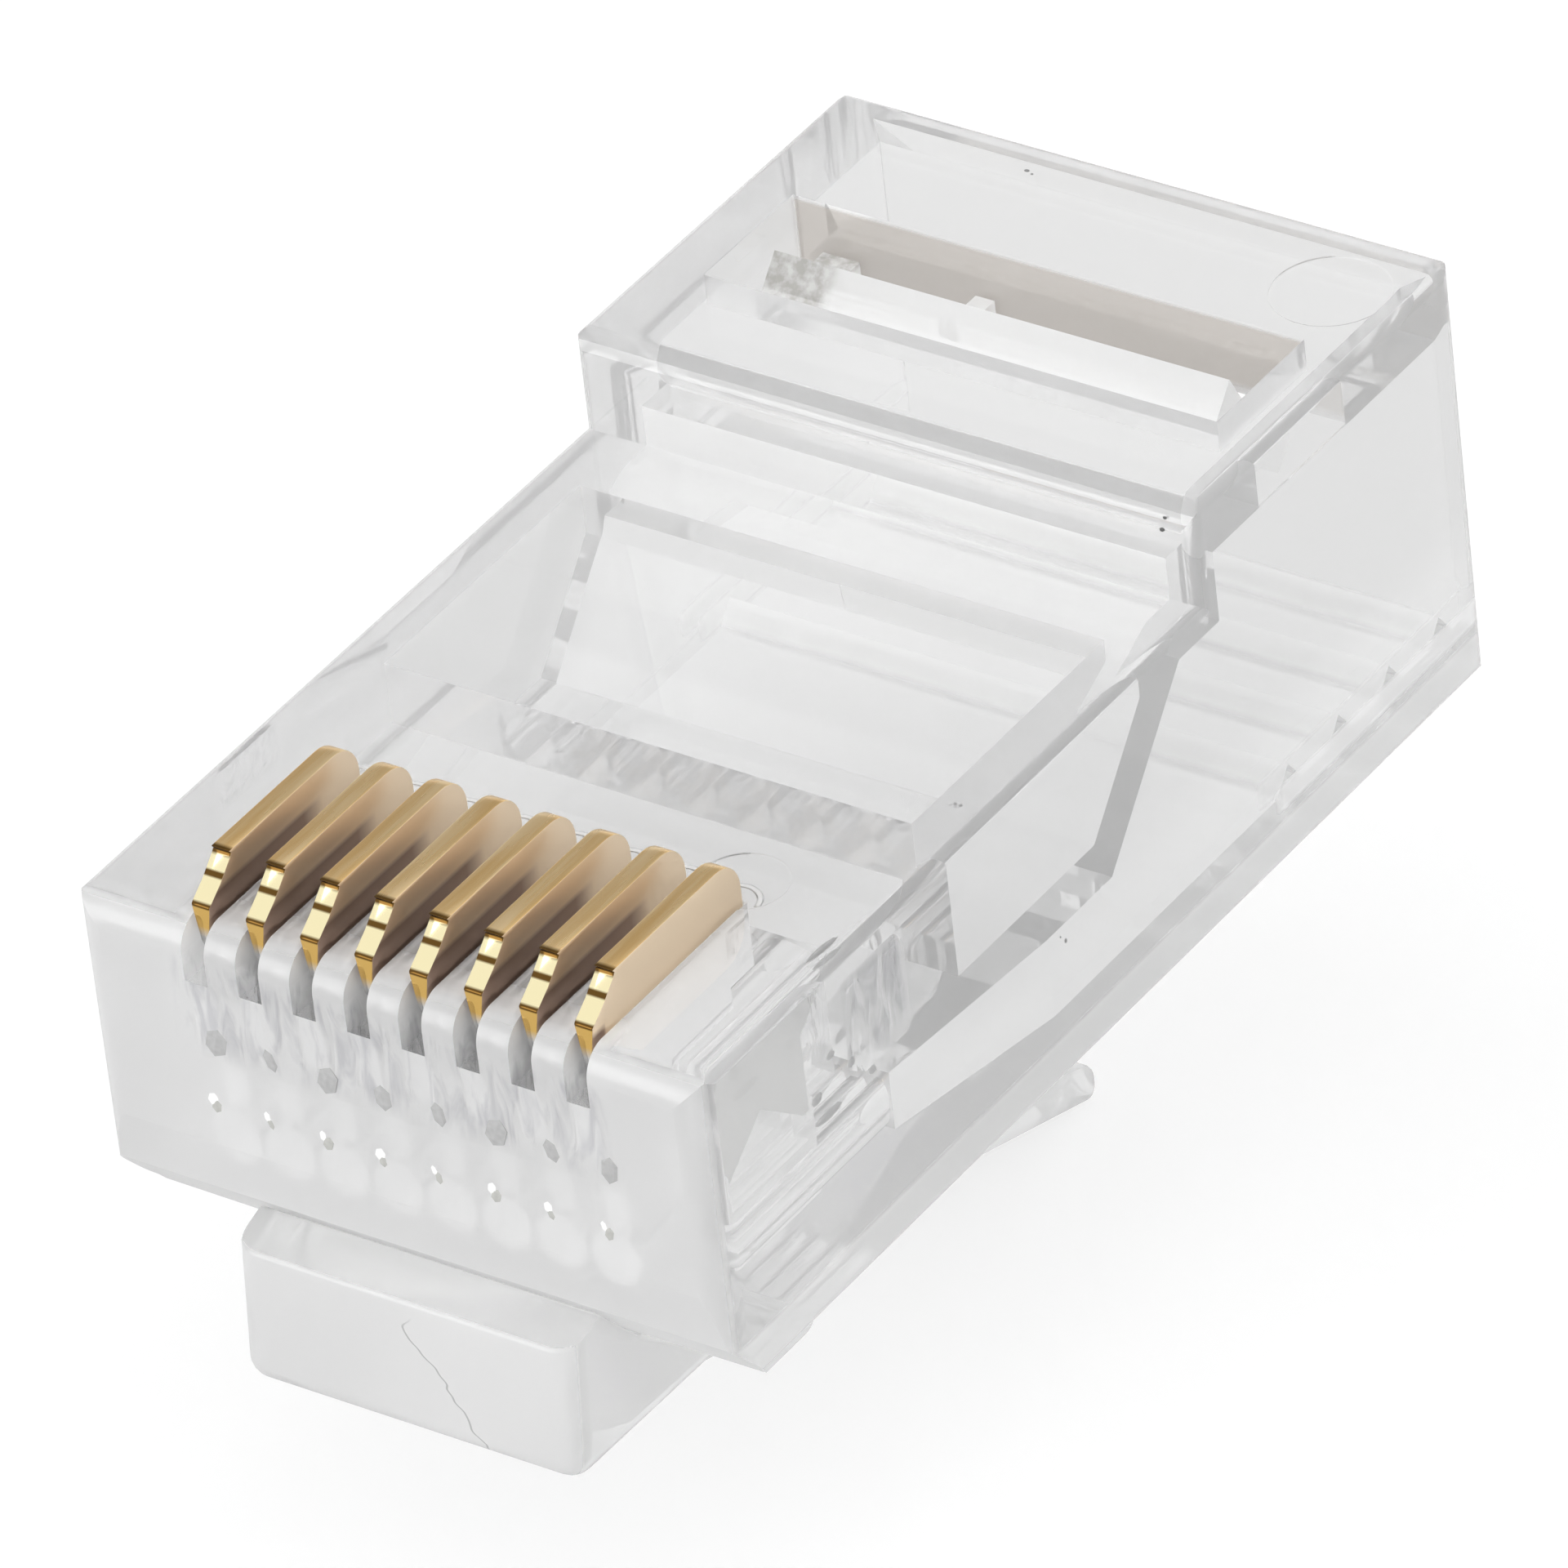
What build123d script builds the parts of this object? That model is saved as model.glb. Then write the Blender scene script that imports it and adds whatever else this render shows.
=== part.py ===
from build123d import *
import os

# Eight-position modular plug for network cable, as sold loose, before it is crimped on a cord.
# x runs across the contact row, y from the nose to the cable entry, z up with the contacts on top.
# The origin is on the nose's front face, at mid-width, level with the body's latch-side surface.

# Body, in millimetres
BODY_WIDTH = 11.68
BODY_LENGTH = 21.9
NOSE_LENGTH = 14.1  # front face to the riser
NOSE_HEIGHT = 5.9
REAR_HEIGHT = 7.7
NOSE_CORNER_RADIUS = 0.5  # upright edges of the nose
NOSE_TOP_RADIUS = 0.5  # over the ribs between the contacts
RISER_RADIUS = 0.45
RISER_CORNER_RADIUS = 0.25
REAR_CORNER_RADIUS = 0.5
SIDE_EDGE_RADIUS = 0.2  # long edges

# Lead-in, where the nose's lower front is cut back to find the jack's opening
LEAD_IN_HEIGHT = 1.85
LEAD_IN_KNEE_HEIGHT = 0.85
LEAD_IN_KNEE_BACK = 0.15
LEAD_IN_LENGTH = 1.25  # at the foot's underside

# Foot across the nose, under its front edge
FOOT_LENGTH = 2.5
FOOT_DROP = 0.38
FOOT_CORNER_DROP = 0.22  # the foot is crowned, so it is shallower at the body's sides
FOOT_INSET = 0.2
FOOT_REAR_RADIUS = 0.3

# Walls
SIDE_WALL = 0.9
FLOOR_WALL = 0.9
ROOF_WALL = 1.4  # over the cable cavity, as deep as the jacket clamp
RISER_WALL = 0.9
POCKET_WALL = 0.85  # between the upper pocket and the wire passage
NOSE_WALL = 1.0  # closes the wire channels at the front

# Upper pocket, over the wires
POCKET_FRONT = 7.25
POCKET_LENGTH = 5.45
POCKET_SIDE_WALL = 0.9
POCKET_DEPTH = 2.7
POCKET_RAMP_LENGTH = 1.6
POCKET_RIM_DEPTH = 0.9  # upright wall over the ramp

# Round marks that the mould's ejector pins leave: centre, diameter and the face that they lie on
EJECTOR_MARK_DEPTH = 0.03
REAR_MARK_INSET = 1.35  # from the body's side
REAR_MARK_BACK = 1.6  # from the rear face
REAR_MARK_DIAMETER = 2.0
NOSE_MARK_INSET = 2.4
NOSE_MARK_BACK = 4.85
NOSE_MARK_DIAMETER = 1.5

# Wire passage and channels
WIRE_PITCH = 1.016
WIRE_COUNT = 8
CHANNEL_DIAMETER = 0.92
CHANNEL_FLOOR = 1.28
CHANNEL_LENGTH = 4.6
PASSAGE_MARGIN = 0.12  # over the channels, and beside the outer ones
FUNNEL_LENGTH = 4.0  # where the passage widens towards the cable cavity

# Ridges that grip the cable jacket, on the cavity floor
RIDGE_COUNT = 4
RIDGE_PITCH = 1.5
RIDGE_FIRST = 0.95  # crest of the last ridge, before the rear face
RIDGE_BASE = 0.7
RIDGE_HEIGHT = 0.45
MOUTH_CHAMFER = 0.35

# Jacket clamp, which the crimping tool folds down on the cable
WINDOW_REAR_WALL = 2.95
WINDOW_LENGTH = 2.55
WINDOW_SIDE_WALL = 1.0
CLAMP_CLEARANCE = 0.08
CLAMP_END_GAP = 0.54  # open at both ends of the bar
CLAMP_WEB = 0.22
CLAMP_CREST_BACK = 1.2  # crest, behind the window's front edge
CLAMP_CREST_SINK = 0.1
CLAMP_FRONT_FLANK = 1.0
CLAMP_REAR_FLANK = 0.57
CLAMP_TOOTH_DROP = 0.4
CLAMP_TOOTH_WIDTH = 0.8
POST_PLACES = ((0.35, 0.7), (3.1, 0.36))  # each post's centre from the bar's left end, and its width
POST_HEIGHT = 0.5

# Contacts
CONTACT_THICKNESS = 0.35
CONTACT_CLEARANCE = 0.04
CONTACT_PROUD = 0.9
CRIMP_TRAVEL = 1.1
CONTACT_NOSE = 0.35  # front of the upper lobe, behind the nose face
CONTACT_LENGTH = 4.05
CONTACT_REAR_RADIUS = 0.6
CONTACT_BEVEL = 0.66  # where the jack's spring rides up on the contact
BEVEL_NOTCH = 0.05  # step across the middle of the bevel
LOBE_STEP = 1.3  # end of the contact's upright front, below its top
LOBE_DEPTH = 1.8  # from the contact's top to the lobe's lower point
BLADE_SET_BACK = 1.0
BLADE_LENGTH = 2.4
BLADE_NECK_DEPTH = 2.6
PRONG_ROOT_DEPTH = 3.2
PRONG_TIP_DEPTH = 4.0
PRONG_TIP_WIDTH = 0.16
SLOT_MOUTH_DEPTH = 1.0  # how far the slots run down the nose's front face
SLOT_MOUTH_SLOPE = 0.4  # the mouth's floor drops this much towards the contact

# Latch
HINGE_BACK = 1.8
LATCH_SEAT_CLEARANCE = 0.02
SHOULDER_WIDTH = 6.4
SHOULDER_BACK = 8.5
SHOULDER_TAPER_BACK = 6.0  # from here the wide part narrows towards the shoulders
SHOULDER_REAR_WIDTH = 5.2
FINGER_WIDTH = 3.2
LATCH_LENGTH = 15.8
LATCH_ROOT_RISE = 1.0  # the latch's root stands up in front of the lead-in
LATCH_ROOT_SLOPE = 0.25  # its top drops this much towards the front
LATCH_ROOT_CLEARANCE = 0.04
LATCH_FRONT_LEAD = 0.5  # the latch's front stands this far ahead of the nose face at its top
LATCH_FRONT_LEAN = 0.25  # and this much further at its lower edge, square to the sloping arm
LATCH_ROOT_DEPTH = 2.1  # front edge, below the body's latch-side surface
LATCH_KNEE_BACK = 2.9
LATCH_KNEE_DEPTH = 2.2
LATCH_TIP_DEPTH = 6.1
LATCH_TIP_THICKNESS = 0.68
LATCH_TIP_RADIUS = 0.3
LATCH_EDGE_RADIUS = 0.4  # lower front edge and both upright front corners
SHOULDER_RADIUS = 0.3

CUT = 1.0  # how far a cutter runs past the face that it opens

WINDOW_FRONT = BODY_LENGTH - WINDOW_REAR_WALL - WINDOW_LENGTH


def side_prism(points, width):
    """Closed outline of (y, z) points, made solid across the body's middle plane."""
    outline = make_face(Plane.YZ * Polyline(*points, close=True))
    return extrude(outline, amount=width / 2, both=True)


def plan_prism(points, low, high):
    """Closed outline of (x, y) points, made solid between two heights."""
    outline = make_face(Plane.XY.offset(low) * Polyline(*points, close=True))
    return extrude(outline, amount=high - low)


def contact_places():
    """The x of each contact and wire channel, from left to right."""
    first = -WIRE_PITCH * (WIRE_COUNT - 1) / 2
    return [first + WIRE_PITCH * i for i in range(WIRE_COUNT)]


def rounded_block(front, rear, height, upright_radius, crest_radius):
    """Block across the body's full width: three prisms with rounded edges, one along each axis, in common."""
    side = side_prism(((front, 0), (front, height), (rear, height), (rear, 0)), BODY_WIDTH)
    crest = side.edges().filter_by(Axis.X).group_by(Axis.Z)[-1].sort_by(Axis.Y)[0]
    side = fillet(crest, crest_radius)
    rear_top = side.edges().filter_by(Axis.X).group_by(Axis.Z)[-1].sort_by(Axis.Y)[-1]
    side = fillet(rear_top, SIDE_EDGE_RADIUS)
    half = BODY_WIDTH / 2
    plan = plan_prism(((-half, front), (-half, rear), (half, rear), (half, front)), 0, height)
    plan = fillet(plan.edges().filter_by(Axis.Z).group_by(Axis.Y)[0], upright_radius)
    plan = fillet(plan.edges().filter_by(Axis.Z).group_by(Axis.Y)[-1], REAR_CORNER_RADIUS)
    section = Plane((0, front, height / 2), x_dir=(1, 0, 0), z_dir=(0, 1, 0))
    outline = RectangleRounded(BODY_WIDTH, height, SIDE_EDGE_RADIUS)
    return side & plan & extrude(section * outline, amount=rear - front)


def outer_body():
    """The stepped block: the nose's height all along, and the taller cable end."""
    low = rounded_block(0, BODY_LENGTH, NOSE_HEIGHT, NOSE_CORNER_RADIUS, NOSE_TOP_RADIUS)
    return low + rounded_block(NOSE_LENGTH, BODY_LENGTH, REAR_HEIGHT, RISER_CORNER_RADIUS, RISER_RADIUS)


def foot():
    """Crowned pad under the nose, which the latch grows from."""
    half = BODY_WIDTH / 2 - FOOT_INSET
    root = SHOULDER_WIDTH / 2
    outline = Plane.XZ * Polyline(
        (-half, CUT),
        (-half, -FOOT_CORNER_DROP),
        (-root, -FOOT_DROP),
        (root, -FOOT_DROP),
        (half, -FOOT_CORNER_DROP),
        (half, CUT),
        close=True,
    )
    pad = extrude(make_face(outline), amount=-FOOT_LENGTH)
    rear = pad.edges().group_by(Axis.Y)[-1]
    pad = fillet(rear.filter_by(lambda e: e.center().Z < 0), FOOT_REAR_RADIUS)
    upright = pad.edges().filter_by(Axis.Z).group_by(Axis.Y)
    return fillet(upright[0], NOSE_CORNER_RADIUS)


def lead_in_back(height):
    """How far the lead-in's lower slope lies behind the nose face, at a height."""
    slope = (LEAD_IN_LENGTH - LEAD_IN_KNEE_BACK) / (LEAD_IN_KNEE_HEIGHT + FOOT_DROP)
    return LEAD_IN_KNEE_BACK + slope * (LEAD_IN_KNEE_HEIGHT - height)


def lead_in():
    """Wedge cut from the nose's lower front edge, through the foot."""
    low = -FOOT_DROP - CUT
    return side_prism(
        (
            (0, LEAD_IN_HEIGHT),
            (LEAD_IN_KNEE_BACK, LEAD_IN_KNEE_HEIGHT),
            (lead_in_back(low), low),
            (-CUT, low),
            (-CUT, LEAD_IN_HEIGHT),
        ),
        BODY_WIDTH + CUT,
    )


def cable_cavity():
    """The cable's hollow: mouth, ceiling stepped under the riser, ramp and flat wire passage."""
    pocket_floor = NOSE_HEIGHT - POCKET_DEPTH
    pocket_rear = POCKET_FRONT + POCKET_LENGTH
    ramp_rise = POCKET_DEPTH - POCKET_RIM_DEPTH
    ramp = Vector(POCKET_RAMP_LENGTH, ramp_rise, 0)
    passage_ceiling = pocket_floor - POCKET_WALL
    low_ceiling = NOSE_HEIGHT - POCKET_RIM_DEPTH
    ceiling = REAR_HEIGHT - ROOF_WALL
    # the ramp lies one wall below the pocket's own ramp, measured square to it
    wall_run = POCKET_WALL * ramp.length / ramp_rise
    slope = POCKET_RAMP_LENGTH / ramp_rise
    ramp_low = pocket_rear - POCKET_RAMP_LENGTH + wall_run - POCKET_WALL * slope
    ramp_high = pocket_rear + wall_run
    channel_end = NOSE_WALL + CHANNEL_LENGTH
    side = side_prism(
        (
            (channel_end, CHANNEL_FLOOR),
            (channel_end, passage_ceiling),
            (ramp_low, passage_ceiling),
            (ramp_high, low_ceiling),
            (NOSE_LENGTH + RISER_WALL, low_ceiling),
            (NOSE_LENGTH + RISER_WALL, ceiling),
            (BODY_LENGTH + CUT, ceiling),
            (BODY_LENGTH + CUT, FLOOR_WALL),
            (channel_end + FUNNEL_LENGTH, FLOOR_WALL),
        ),
        BODY_WIDTH,
    )
    wide = BODY_WIDTH / 2 - SIDE_WALL
    narrow = (WIRE_PITCH * (WIRE_COUNT - 1) + CHANNEL_DIAMETER) / 2 + PASSAGE_MARGIN
    plan = plan_prism(
        (
            (-narrow, channel_end),
            (-wide, channel_end + FUNNEL_LENGTH),
            (-wide, BODY_LENGTH + CUT),
            (wide, BODY_LENGTH + CUT),
            (wide, channel_end + FUNNEL_LENGTH),
            (narrow, channel_end),
        ),
        0,
        REAR_HEIGHT,
    )
    return side & plan


def mouth():
    """Lead-in bevel around the cable entry."""
    width = BODY_WIDTH - 2 * SIDE_WALL
    height = REAR_HEIGHT - ROOF_WALL - FLOOR_WALL
    middle = FLOOR_WALL + height / 2
    inner = Plane((0, BODY_LENGTH - MOUTH_CHAMFER, middle), x_dir=(1, 0, 0), z_dir=(0, 1, 0))
    outer = Plane((0, BODY_LENGTH, middle), x_dir=(1, 0, 0), z_dir=(0, 1, 0))
    flare = 2 * MOUTH_CHAMFER
    return loft([inner * Rectangle(width, height), outer * Rectangle(width + flare, height + flare)])


def wire_channels():
    """One round blind channel for each conductor, closed by the nose wall."""
    height = CHANNEL_FLOOR + CHANNEL_DIAMETER / 2
    channels = []
    for x in contact_places():
        start = Plane((x, NOSE_WALL, height), z_dir=(0, 1, 0))
        channels.append(extrude(start * Circle(CHANNEL_DIAMETER / 2), amount=CHANNEL_LENGTH + PASSAGE_MARGIN))
    return channels


def upper_pocket():
    """Open pocket over the wires, with a ramp at its rear."""
    floor = NOSE_HEIGHT - POCKET_DEPTH
    rear = POCKET_FRONT + POCKET_LENGTH
    return side_prism(
        (
            (POCKET_FRONT, NOSE_HEIGHT + CUT),
            (POCKET_FRONT, floor),
            (rear - POCKET_RAMP_LENGTH, floor),
            (rear, NOSE_HEIGHT - POCKET_RIM_DEPTH),
            (rear, NOSE_HEIGHT + CUT),
        ),
        BODY_WIDTH - 2 * POCKET_SIDE_WALL,
    )


def clamp_window():
    """Opening through the roof that the jacket clamp folds through."""
    return side_prism(
        (
            (WINDOW_FRONT, REAR_HEIGHT + CUT),
            (WINDOW_FRONT, REAR_HEIGHT - ROOF_WALL - CUT),
            (WINDOW_FRONT + WINDOW_LENGTH, REAR_HEIGHT - ROOF_WALL - CUT),
            (WINDOW_FRONT + WINDOW_LENGTH, REAR_HEIGHT + CUT),
        ),
        BODY_WIDTH - 2 * WINDOW_SIDE_WALL,
    )


def contact_slots():
    """Slots open at the top and through the nose's front edge, with room for the crimping travel."""
    play = CONTACT_CLEARANCE
    top = NOSE_HEIGHT + CUT
    rear = CONTACT_NOSE + CONTACT_LENGTH + play
    blade_front = CONTACT_NOSE + BLADE_SET_BACK - play
    blade_rear = CONTACT_NOSE + BLADE_SET_BACK + BLADE_LENGTH + play
    contact_top = NOSE_HEIGHT + CONTACT_PROUD
    lobe_front = CONTACT_NOSE - play
    lobe_floor = contact_top - LOBE_DEPTH - CRIMP_TRAVEL - play
    heel = contact_top - BLADE_NECK_DEPTH - CRIMP_TRAVEL - play
    outline = (
        (-CUT, top),
        (-CUT, NOSE_HEIGHT - SLOT_MOUTH_DEPTH),
        (0, NOSE_HEIGHT - SLOT_MOUTH_DEPTH),
        (lobe_front, NOSE_HEIGHT - SLOT_MOUTH_DEPTH - SLOT_MOUTH_SLOPE),
        (lobe_front, lobe_floor),
        (blade_front, heel),
        (blade_front, CHANNEL_FLOOR),
        (blade_rear, CHANNEL_FLOOR),
        (blade_rear, heel),
        (rear, heel),
        (rear, top),
    )
    slot = side_prism(outline, CONTACT_THICKNESS + 2 * play)
    return [Pos(x, 0, 0) * slot for x in contact_places()]


def ejector_marks():
    """Shallow round dents, on the roof beside the clamp and behind the last contact."""
    rear = Pos(BODY_WIDTH / 2 - REAR_MARK_INSET, BODY_LENGTH - REAR_MARK_BACK, REAR_HEIGHT - EJECTOR_MARK_DEPTH)
    nose = Pos(BODY_WIDTH / 2 - NOSE_MARK_INSET, NOSE_MARK_BACK, NOSE_HEIGHT - EJECTOR_MARK_DEPTH)
    return [
        extrude(rear * Circle(REAR_MARK_DIAMETER / 2), amount=CUT),
        extrude(nose * Circle(NOSE_MARK_DIAMETER / 2), amount=CUT),
    ]


def jacket_ridges():
    """Low ridges across the cavity floor."""
    ridges = []
    for i in range(RIDGE_COUNT):
        crest = BODY_LENGTH - RIDGE_FIRST - RIDGE_PITCH * i
        ridge = side_prism(
            (
                (crest - RIDGE_BASE / 2, 0),
                (crest - RIDGE_BASE / 2, FLOOR_WALL),
                (crest, FLOOR_WALL + RIDGE_HEIGHT),
                (crest + RIDGE_BASE / 2, FLOOR_WALL),
                (crest + RIDGE_BASE / 2, 0),
            ),
            BODY_WIDTH - SIDE_WALL,
        )
        ridges.append(ridge)
    return ridges


def make_housing():
    """The clear moulded body."""
    body = outer_body() + foot() - lead_in()
    body -= cable_cavity()
    body -= mouth()
    body -= upper_pocket()
    body -= clamp_window()
    body += jacket_ridges()
    body -= wire_channels()
    body -= contact_slots()
    body -= ejector_marks()
    return body


def make_jacket_clamp():
    """Ridged bar in the roof window, held by a thin web at its front and small posts at its rear."""
    front = WINDOW_FRONT + CLAMP_CLEARANCE
    crest = WINDOW_FRONT + CLAMP_CREST_BACK
    under = REAR_HEIGHT - ROOF_WALL
    rear = crest + CLAMP_REAR_FLANK
    tooth_front = rear - CLAMP_TOOTH_WIDTH
    width = BODY_WIDTH - 2 * WINDOW_SIDE_WALL - 2 * CLAMP_END_GAP
    bar = side_prism(
        (
            (front, under),
            (front, under + CLAMP_WEB),
            (crest - CLAMP_FRONT_FLANK, under + CLAMP_WEB),
            (crest, REAR_HEIGHT - CLAMP_CREST_SINK),
            (rear, under + CLAMP_WEB),
            (rear, under),
            (rear - CLAMP_TOOTH_WIDTH / 2, under - CLAMP_TOOTH_DROP),
            (tooth_front, under),
        ),
        width,
    )
    post_end = WINDOW_FRONT + WINDOW_LENGTH - CLAMP_CLEARANCE
    for inset, post_width in POST_PLACES:
        post = side_prism(
            (
                (rear - CLAMP_REAR_FLANK / 2, under),
                (rear - CLAMP_REAR_FLANK / 2, under + POST_HEIGHT),
                (post_end, under + POST_HEIGHT),
                (post_end, under),
            ),
            post_width,
        )
        bar += Pos(inset - width / 2, 0, 0) * post
    return bar


def make_latch():
    """Wide shoulder at the nose and a narrower finger behind it, on a slope away from the body."""
    seat = -FOOT_DROP - LATCH_SEAT_CLEARANCE
    root_top = seat + LATCH_ROOT_RISE
    tip_under = -LATCH_TIP_DEPTH
    arm = side_prism(
        (
            (lead_in_back(root_top) - LATCH_ROOT_CLEARANCE, root_top),
            (-LATCH_FRONT_LEAD, root_top - LATCH_ROOT_SLOPE),
            (-LATCH_FRONT_LEAD - LATCH_FRONT_LEAN, -LATCH_ROOT_DEPTH),
            (LATCH_KNEE_BACK, -LATCH_KNEE_DEPTH),
            (LATCH_LENGTH, tip_under),
            (LATCH_LENGTH, tip_under + LATCH_TIP_THICKNESS),
            (HINGE_BACK, seat),
            (lead_in_back(seat) - LATCH_ROOT_CLEARANCE, seat),
        ),
        SHOULDER_WIDTH,
    )
    tip_edges = arm.edges().filter_by(Axis.X).group_by(Axis.Y)[-1]
    arm = fillet(tip_edges, LATCH_TIP_RADIUS)
    front_face = arm.faces().sort_by(Axis.Y)[0]
    top_edge = front_face.edges().sort_by(Axis.Z)[-1]
    arm = fillet(front_face.edges().filter_by(lambda e: e != top_edge), LATCH_EDGE_RADIUS)
    shoulder = SHOULDER_WIDTH / 2
    rear = SHOULDER_REAR_WIDTH / 2
    finger = FINGER_WIDTH / 2
    front = -LATCH_FRONT_LEAD - LATCH_FRONT_LEAN - CUT
    plan = plan_prism(
        (
            (-shoulder, front),
            (-shoulder, SHOULDER_TAPER_BACK),
            (-rear, SHOULDER_BACK),
            (-finger, SHOULDER_BACK),
            (-finger, LATCH_LENGTH + CUT),
            (finger, LATCH_LENGTH + CUT),
            (finger, SHOULDER_BACK),
            (rear, SHOULDER_BACK),
            (shoulder, SHOULDER_TAPER_BACK),
            (shoulder, front),
        ),
        -LATCH_TIP_DEPTH - CUT,
        CUT,
    )
    upright = plan.edges().filter_by(Axis.Z)
    inner = upright.filter_by(lambda e: abs(e.center().X) < (rear + finger) / 2)
    plan = fillet(inner.filter_by(lambda e: e.center().Y < SHOULDER_BACK + CUT), SHOULDER_RADIUS)
    return arm & plan


def contact_outline():
    """Side view of one contact: proud top edge, front lobe, blade and two piercing prongs."""
    top = NOSE_HEIGHT + CONTACT_PROUD
    front = CONTACT_NOSE
    rear = CONTACT_NOSE + CONTACT_LENGTH
    blade_front = front + BLADE_SET_BACK
    blade_rear = blade_front + BLADE_LENGTH
    middle = (blade_front + blade_rear) / 2
    tip = PRONG_TIP_WIDTH
    half_bevel = CONTACT_BEVEL / 2
    heel = RadiusArc((rear, top - CONTACT_REAR_RADIUS), (rear - CONTACT_REAR_RADIUS, top), -CONTACT_REAR_RADIUS)
    front_and_lower = Polyline(
        (front + CONTACT_BEVEL, top),
        (front + half_bevel + BEVEL_NOTCH, top - half_bevel),
        (front + half_bevel, top - half_bevel - BEVEL_NOTCH),
        (front, top - CONTACT_BEVEL),
        (front, top - LOBE_STEP),
        (front + tip, top - LOBE_DEPTH),
        (blade_front, top - BLADE_NECK_DEPTH),
        (blade_front, top - PRONG_TIP_DEPTH),
        (blade_front + tip, top - PRONG_TIP_DEPTH),
        (middle, top - PRONG_ROOT_DEPTH),
        (blade_rear - tip, top - PRONG_TIP_DEPTH),
        (blade_rear, top - PRONG_TIP_DEPTH),
        (blade_rear, top - BLADE_NECK_DEPTH),
        (rear, top - BLADE_NECK_DEPTH + CONTACT_REAR_RADIUS),
        (rear, top - CONTACT_REAR_RADIUS),
    )
    crown = Line((rear - CONTACT_REAR_RADIUS, top), (front + CONTACT_BEVEL, top))
    return make_face(Plane.YZ * (front_and_lower + heel + crown))


def make_contact(x):
    """One stamped, plated blade in its slot."""
    return Pos(x, 0, 0) * extrude(contact_outline(), amount=CONTACT_THICKNESS / 2, both=True)


parts = {
    "housing": make_housing(),
    "latch": make_latch(),
    "jacket_clamp": make_jacket_clamp(),
}
for number, place in enumerate(contact_places(), start=1):
    parts[f"contact_{number}"] = make_contact(place)

os.makedirs("parts", exist_ok=True)
for name, shape in parts.items():
    export_step(shape, f"parts/{name}.step")
    print(f"{name}: {shape.volume:.2f} cubic mm, {len(shape.solids())} solid")
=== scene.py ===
# %% [markdown]
# # A clear network plug
#
# The plug is one clear moulding with eight plated contacts standing in a comb of slots. Its real
# shapes come from the construction model, which is loaded first and never moved. This notebook
# gives it what the construction leaves out: the plating and coined edges of the contacts, the
# latch's rolled edges, the small marks in the plastic, and the light that shows a clear thing on a
# white table.

# %% Load the construction
import math

import bpy
from mathutils import Matrix, Vector


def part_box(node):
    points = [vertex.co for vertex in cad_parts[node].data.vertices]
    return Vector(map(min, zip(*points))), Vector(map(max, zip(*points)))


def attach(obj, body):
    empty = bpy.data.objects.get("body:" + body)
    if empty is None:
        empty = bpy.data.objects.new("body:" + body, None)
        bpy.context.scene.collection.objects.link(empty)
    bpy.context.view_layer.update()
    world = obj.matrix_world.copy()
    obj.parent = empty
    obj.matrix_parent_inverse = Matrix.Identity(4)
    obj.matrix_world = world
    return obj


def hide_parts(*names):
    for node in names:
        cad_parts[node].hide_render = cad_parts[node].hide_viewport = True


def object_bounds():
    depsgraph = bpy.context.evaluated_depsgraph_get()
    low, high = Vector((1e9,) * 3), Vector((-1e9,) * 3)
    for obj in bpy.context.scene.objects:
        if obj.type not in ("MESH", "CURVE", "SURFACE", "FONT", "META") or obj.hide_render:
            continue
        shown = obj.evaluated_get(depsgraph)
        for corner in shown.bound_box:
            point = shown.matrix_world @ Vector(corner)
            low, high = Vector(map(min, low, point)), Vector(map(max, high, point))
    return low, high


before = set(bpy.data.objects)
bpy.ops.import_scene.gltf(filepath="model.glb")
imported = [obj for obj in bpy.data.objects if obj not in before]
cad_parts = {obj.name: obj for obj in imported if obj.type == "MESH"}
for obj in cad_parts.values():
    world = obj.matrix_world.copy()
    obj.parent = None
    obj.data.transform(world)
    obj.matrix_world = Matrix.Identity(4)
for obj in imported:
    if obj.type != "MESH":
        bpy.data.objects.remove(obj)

bpy.context.view_layer.update()
cad_low, cad_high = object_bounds()
MM = 0.001
print("construction box, mm:", [round(v / MM, 2) for v in (*cad_low, *cad_high)])


def deselect_all():
    """Nothing selected, so that the next operator acts only on what it is given."""
    bpy.ops.object.select_all(action="DESELECT")


deselect_all()

# %% [markdown]
# ## Camera
#
# A product photographer stands well back with a long lens, so that a small part keeps its
# proportions. Here the camera is a little over a quarter of a metre away, to the right of the nose
# and above it, and turned a few degrees about its own axis.

# %% Camera
CAMERA_PLACE = Vector((135.485, -165.576, 157.049)) * MM
CAMERA_AIM = Vector((0.0, 10.614, 2.979)) * MM
CAMERA_ROLL = math.radians(-6.76)
CAMERA_LENS = 396.48
CAMERA_SENSOR = 36.0
CAMERA_REACH = (0.01, 20.0)


def make_camera():
    """A camera that looks from its place to its aim, rolled about the line of sight."""
    data = bpy.data.cameras.new("camera")
    data.lens = CAMERA_LENS
    data.sensor_width = CAMERA_SENSOR
    data.clip_start, data.clip_end = CAMERA_REACH
    camera = bpy.data.objects.new("camera", data)
    bpy.context.scene.collection.objects.link(camera)
    turn = (CAMERA_AIM - CAMERA_PLACE).to_track_quat("-Z", "Y").to_matrix().to_4x4()
    camera.matrix_world = Matrix.Translation(CAMERA_PLACE) @ turn @ Matrix.Rotation(CAMERA_ROLL, 4, "Z")
    bpy.context.scene.camera = camera
    return camera


camera = make_camera()
bpy.context.view_layer.update()
print("camera right:", [round(v, 4) for v in camera.matrix_world.col[0][:3]])

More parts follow.
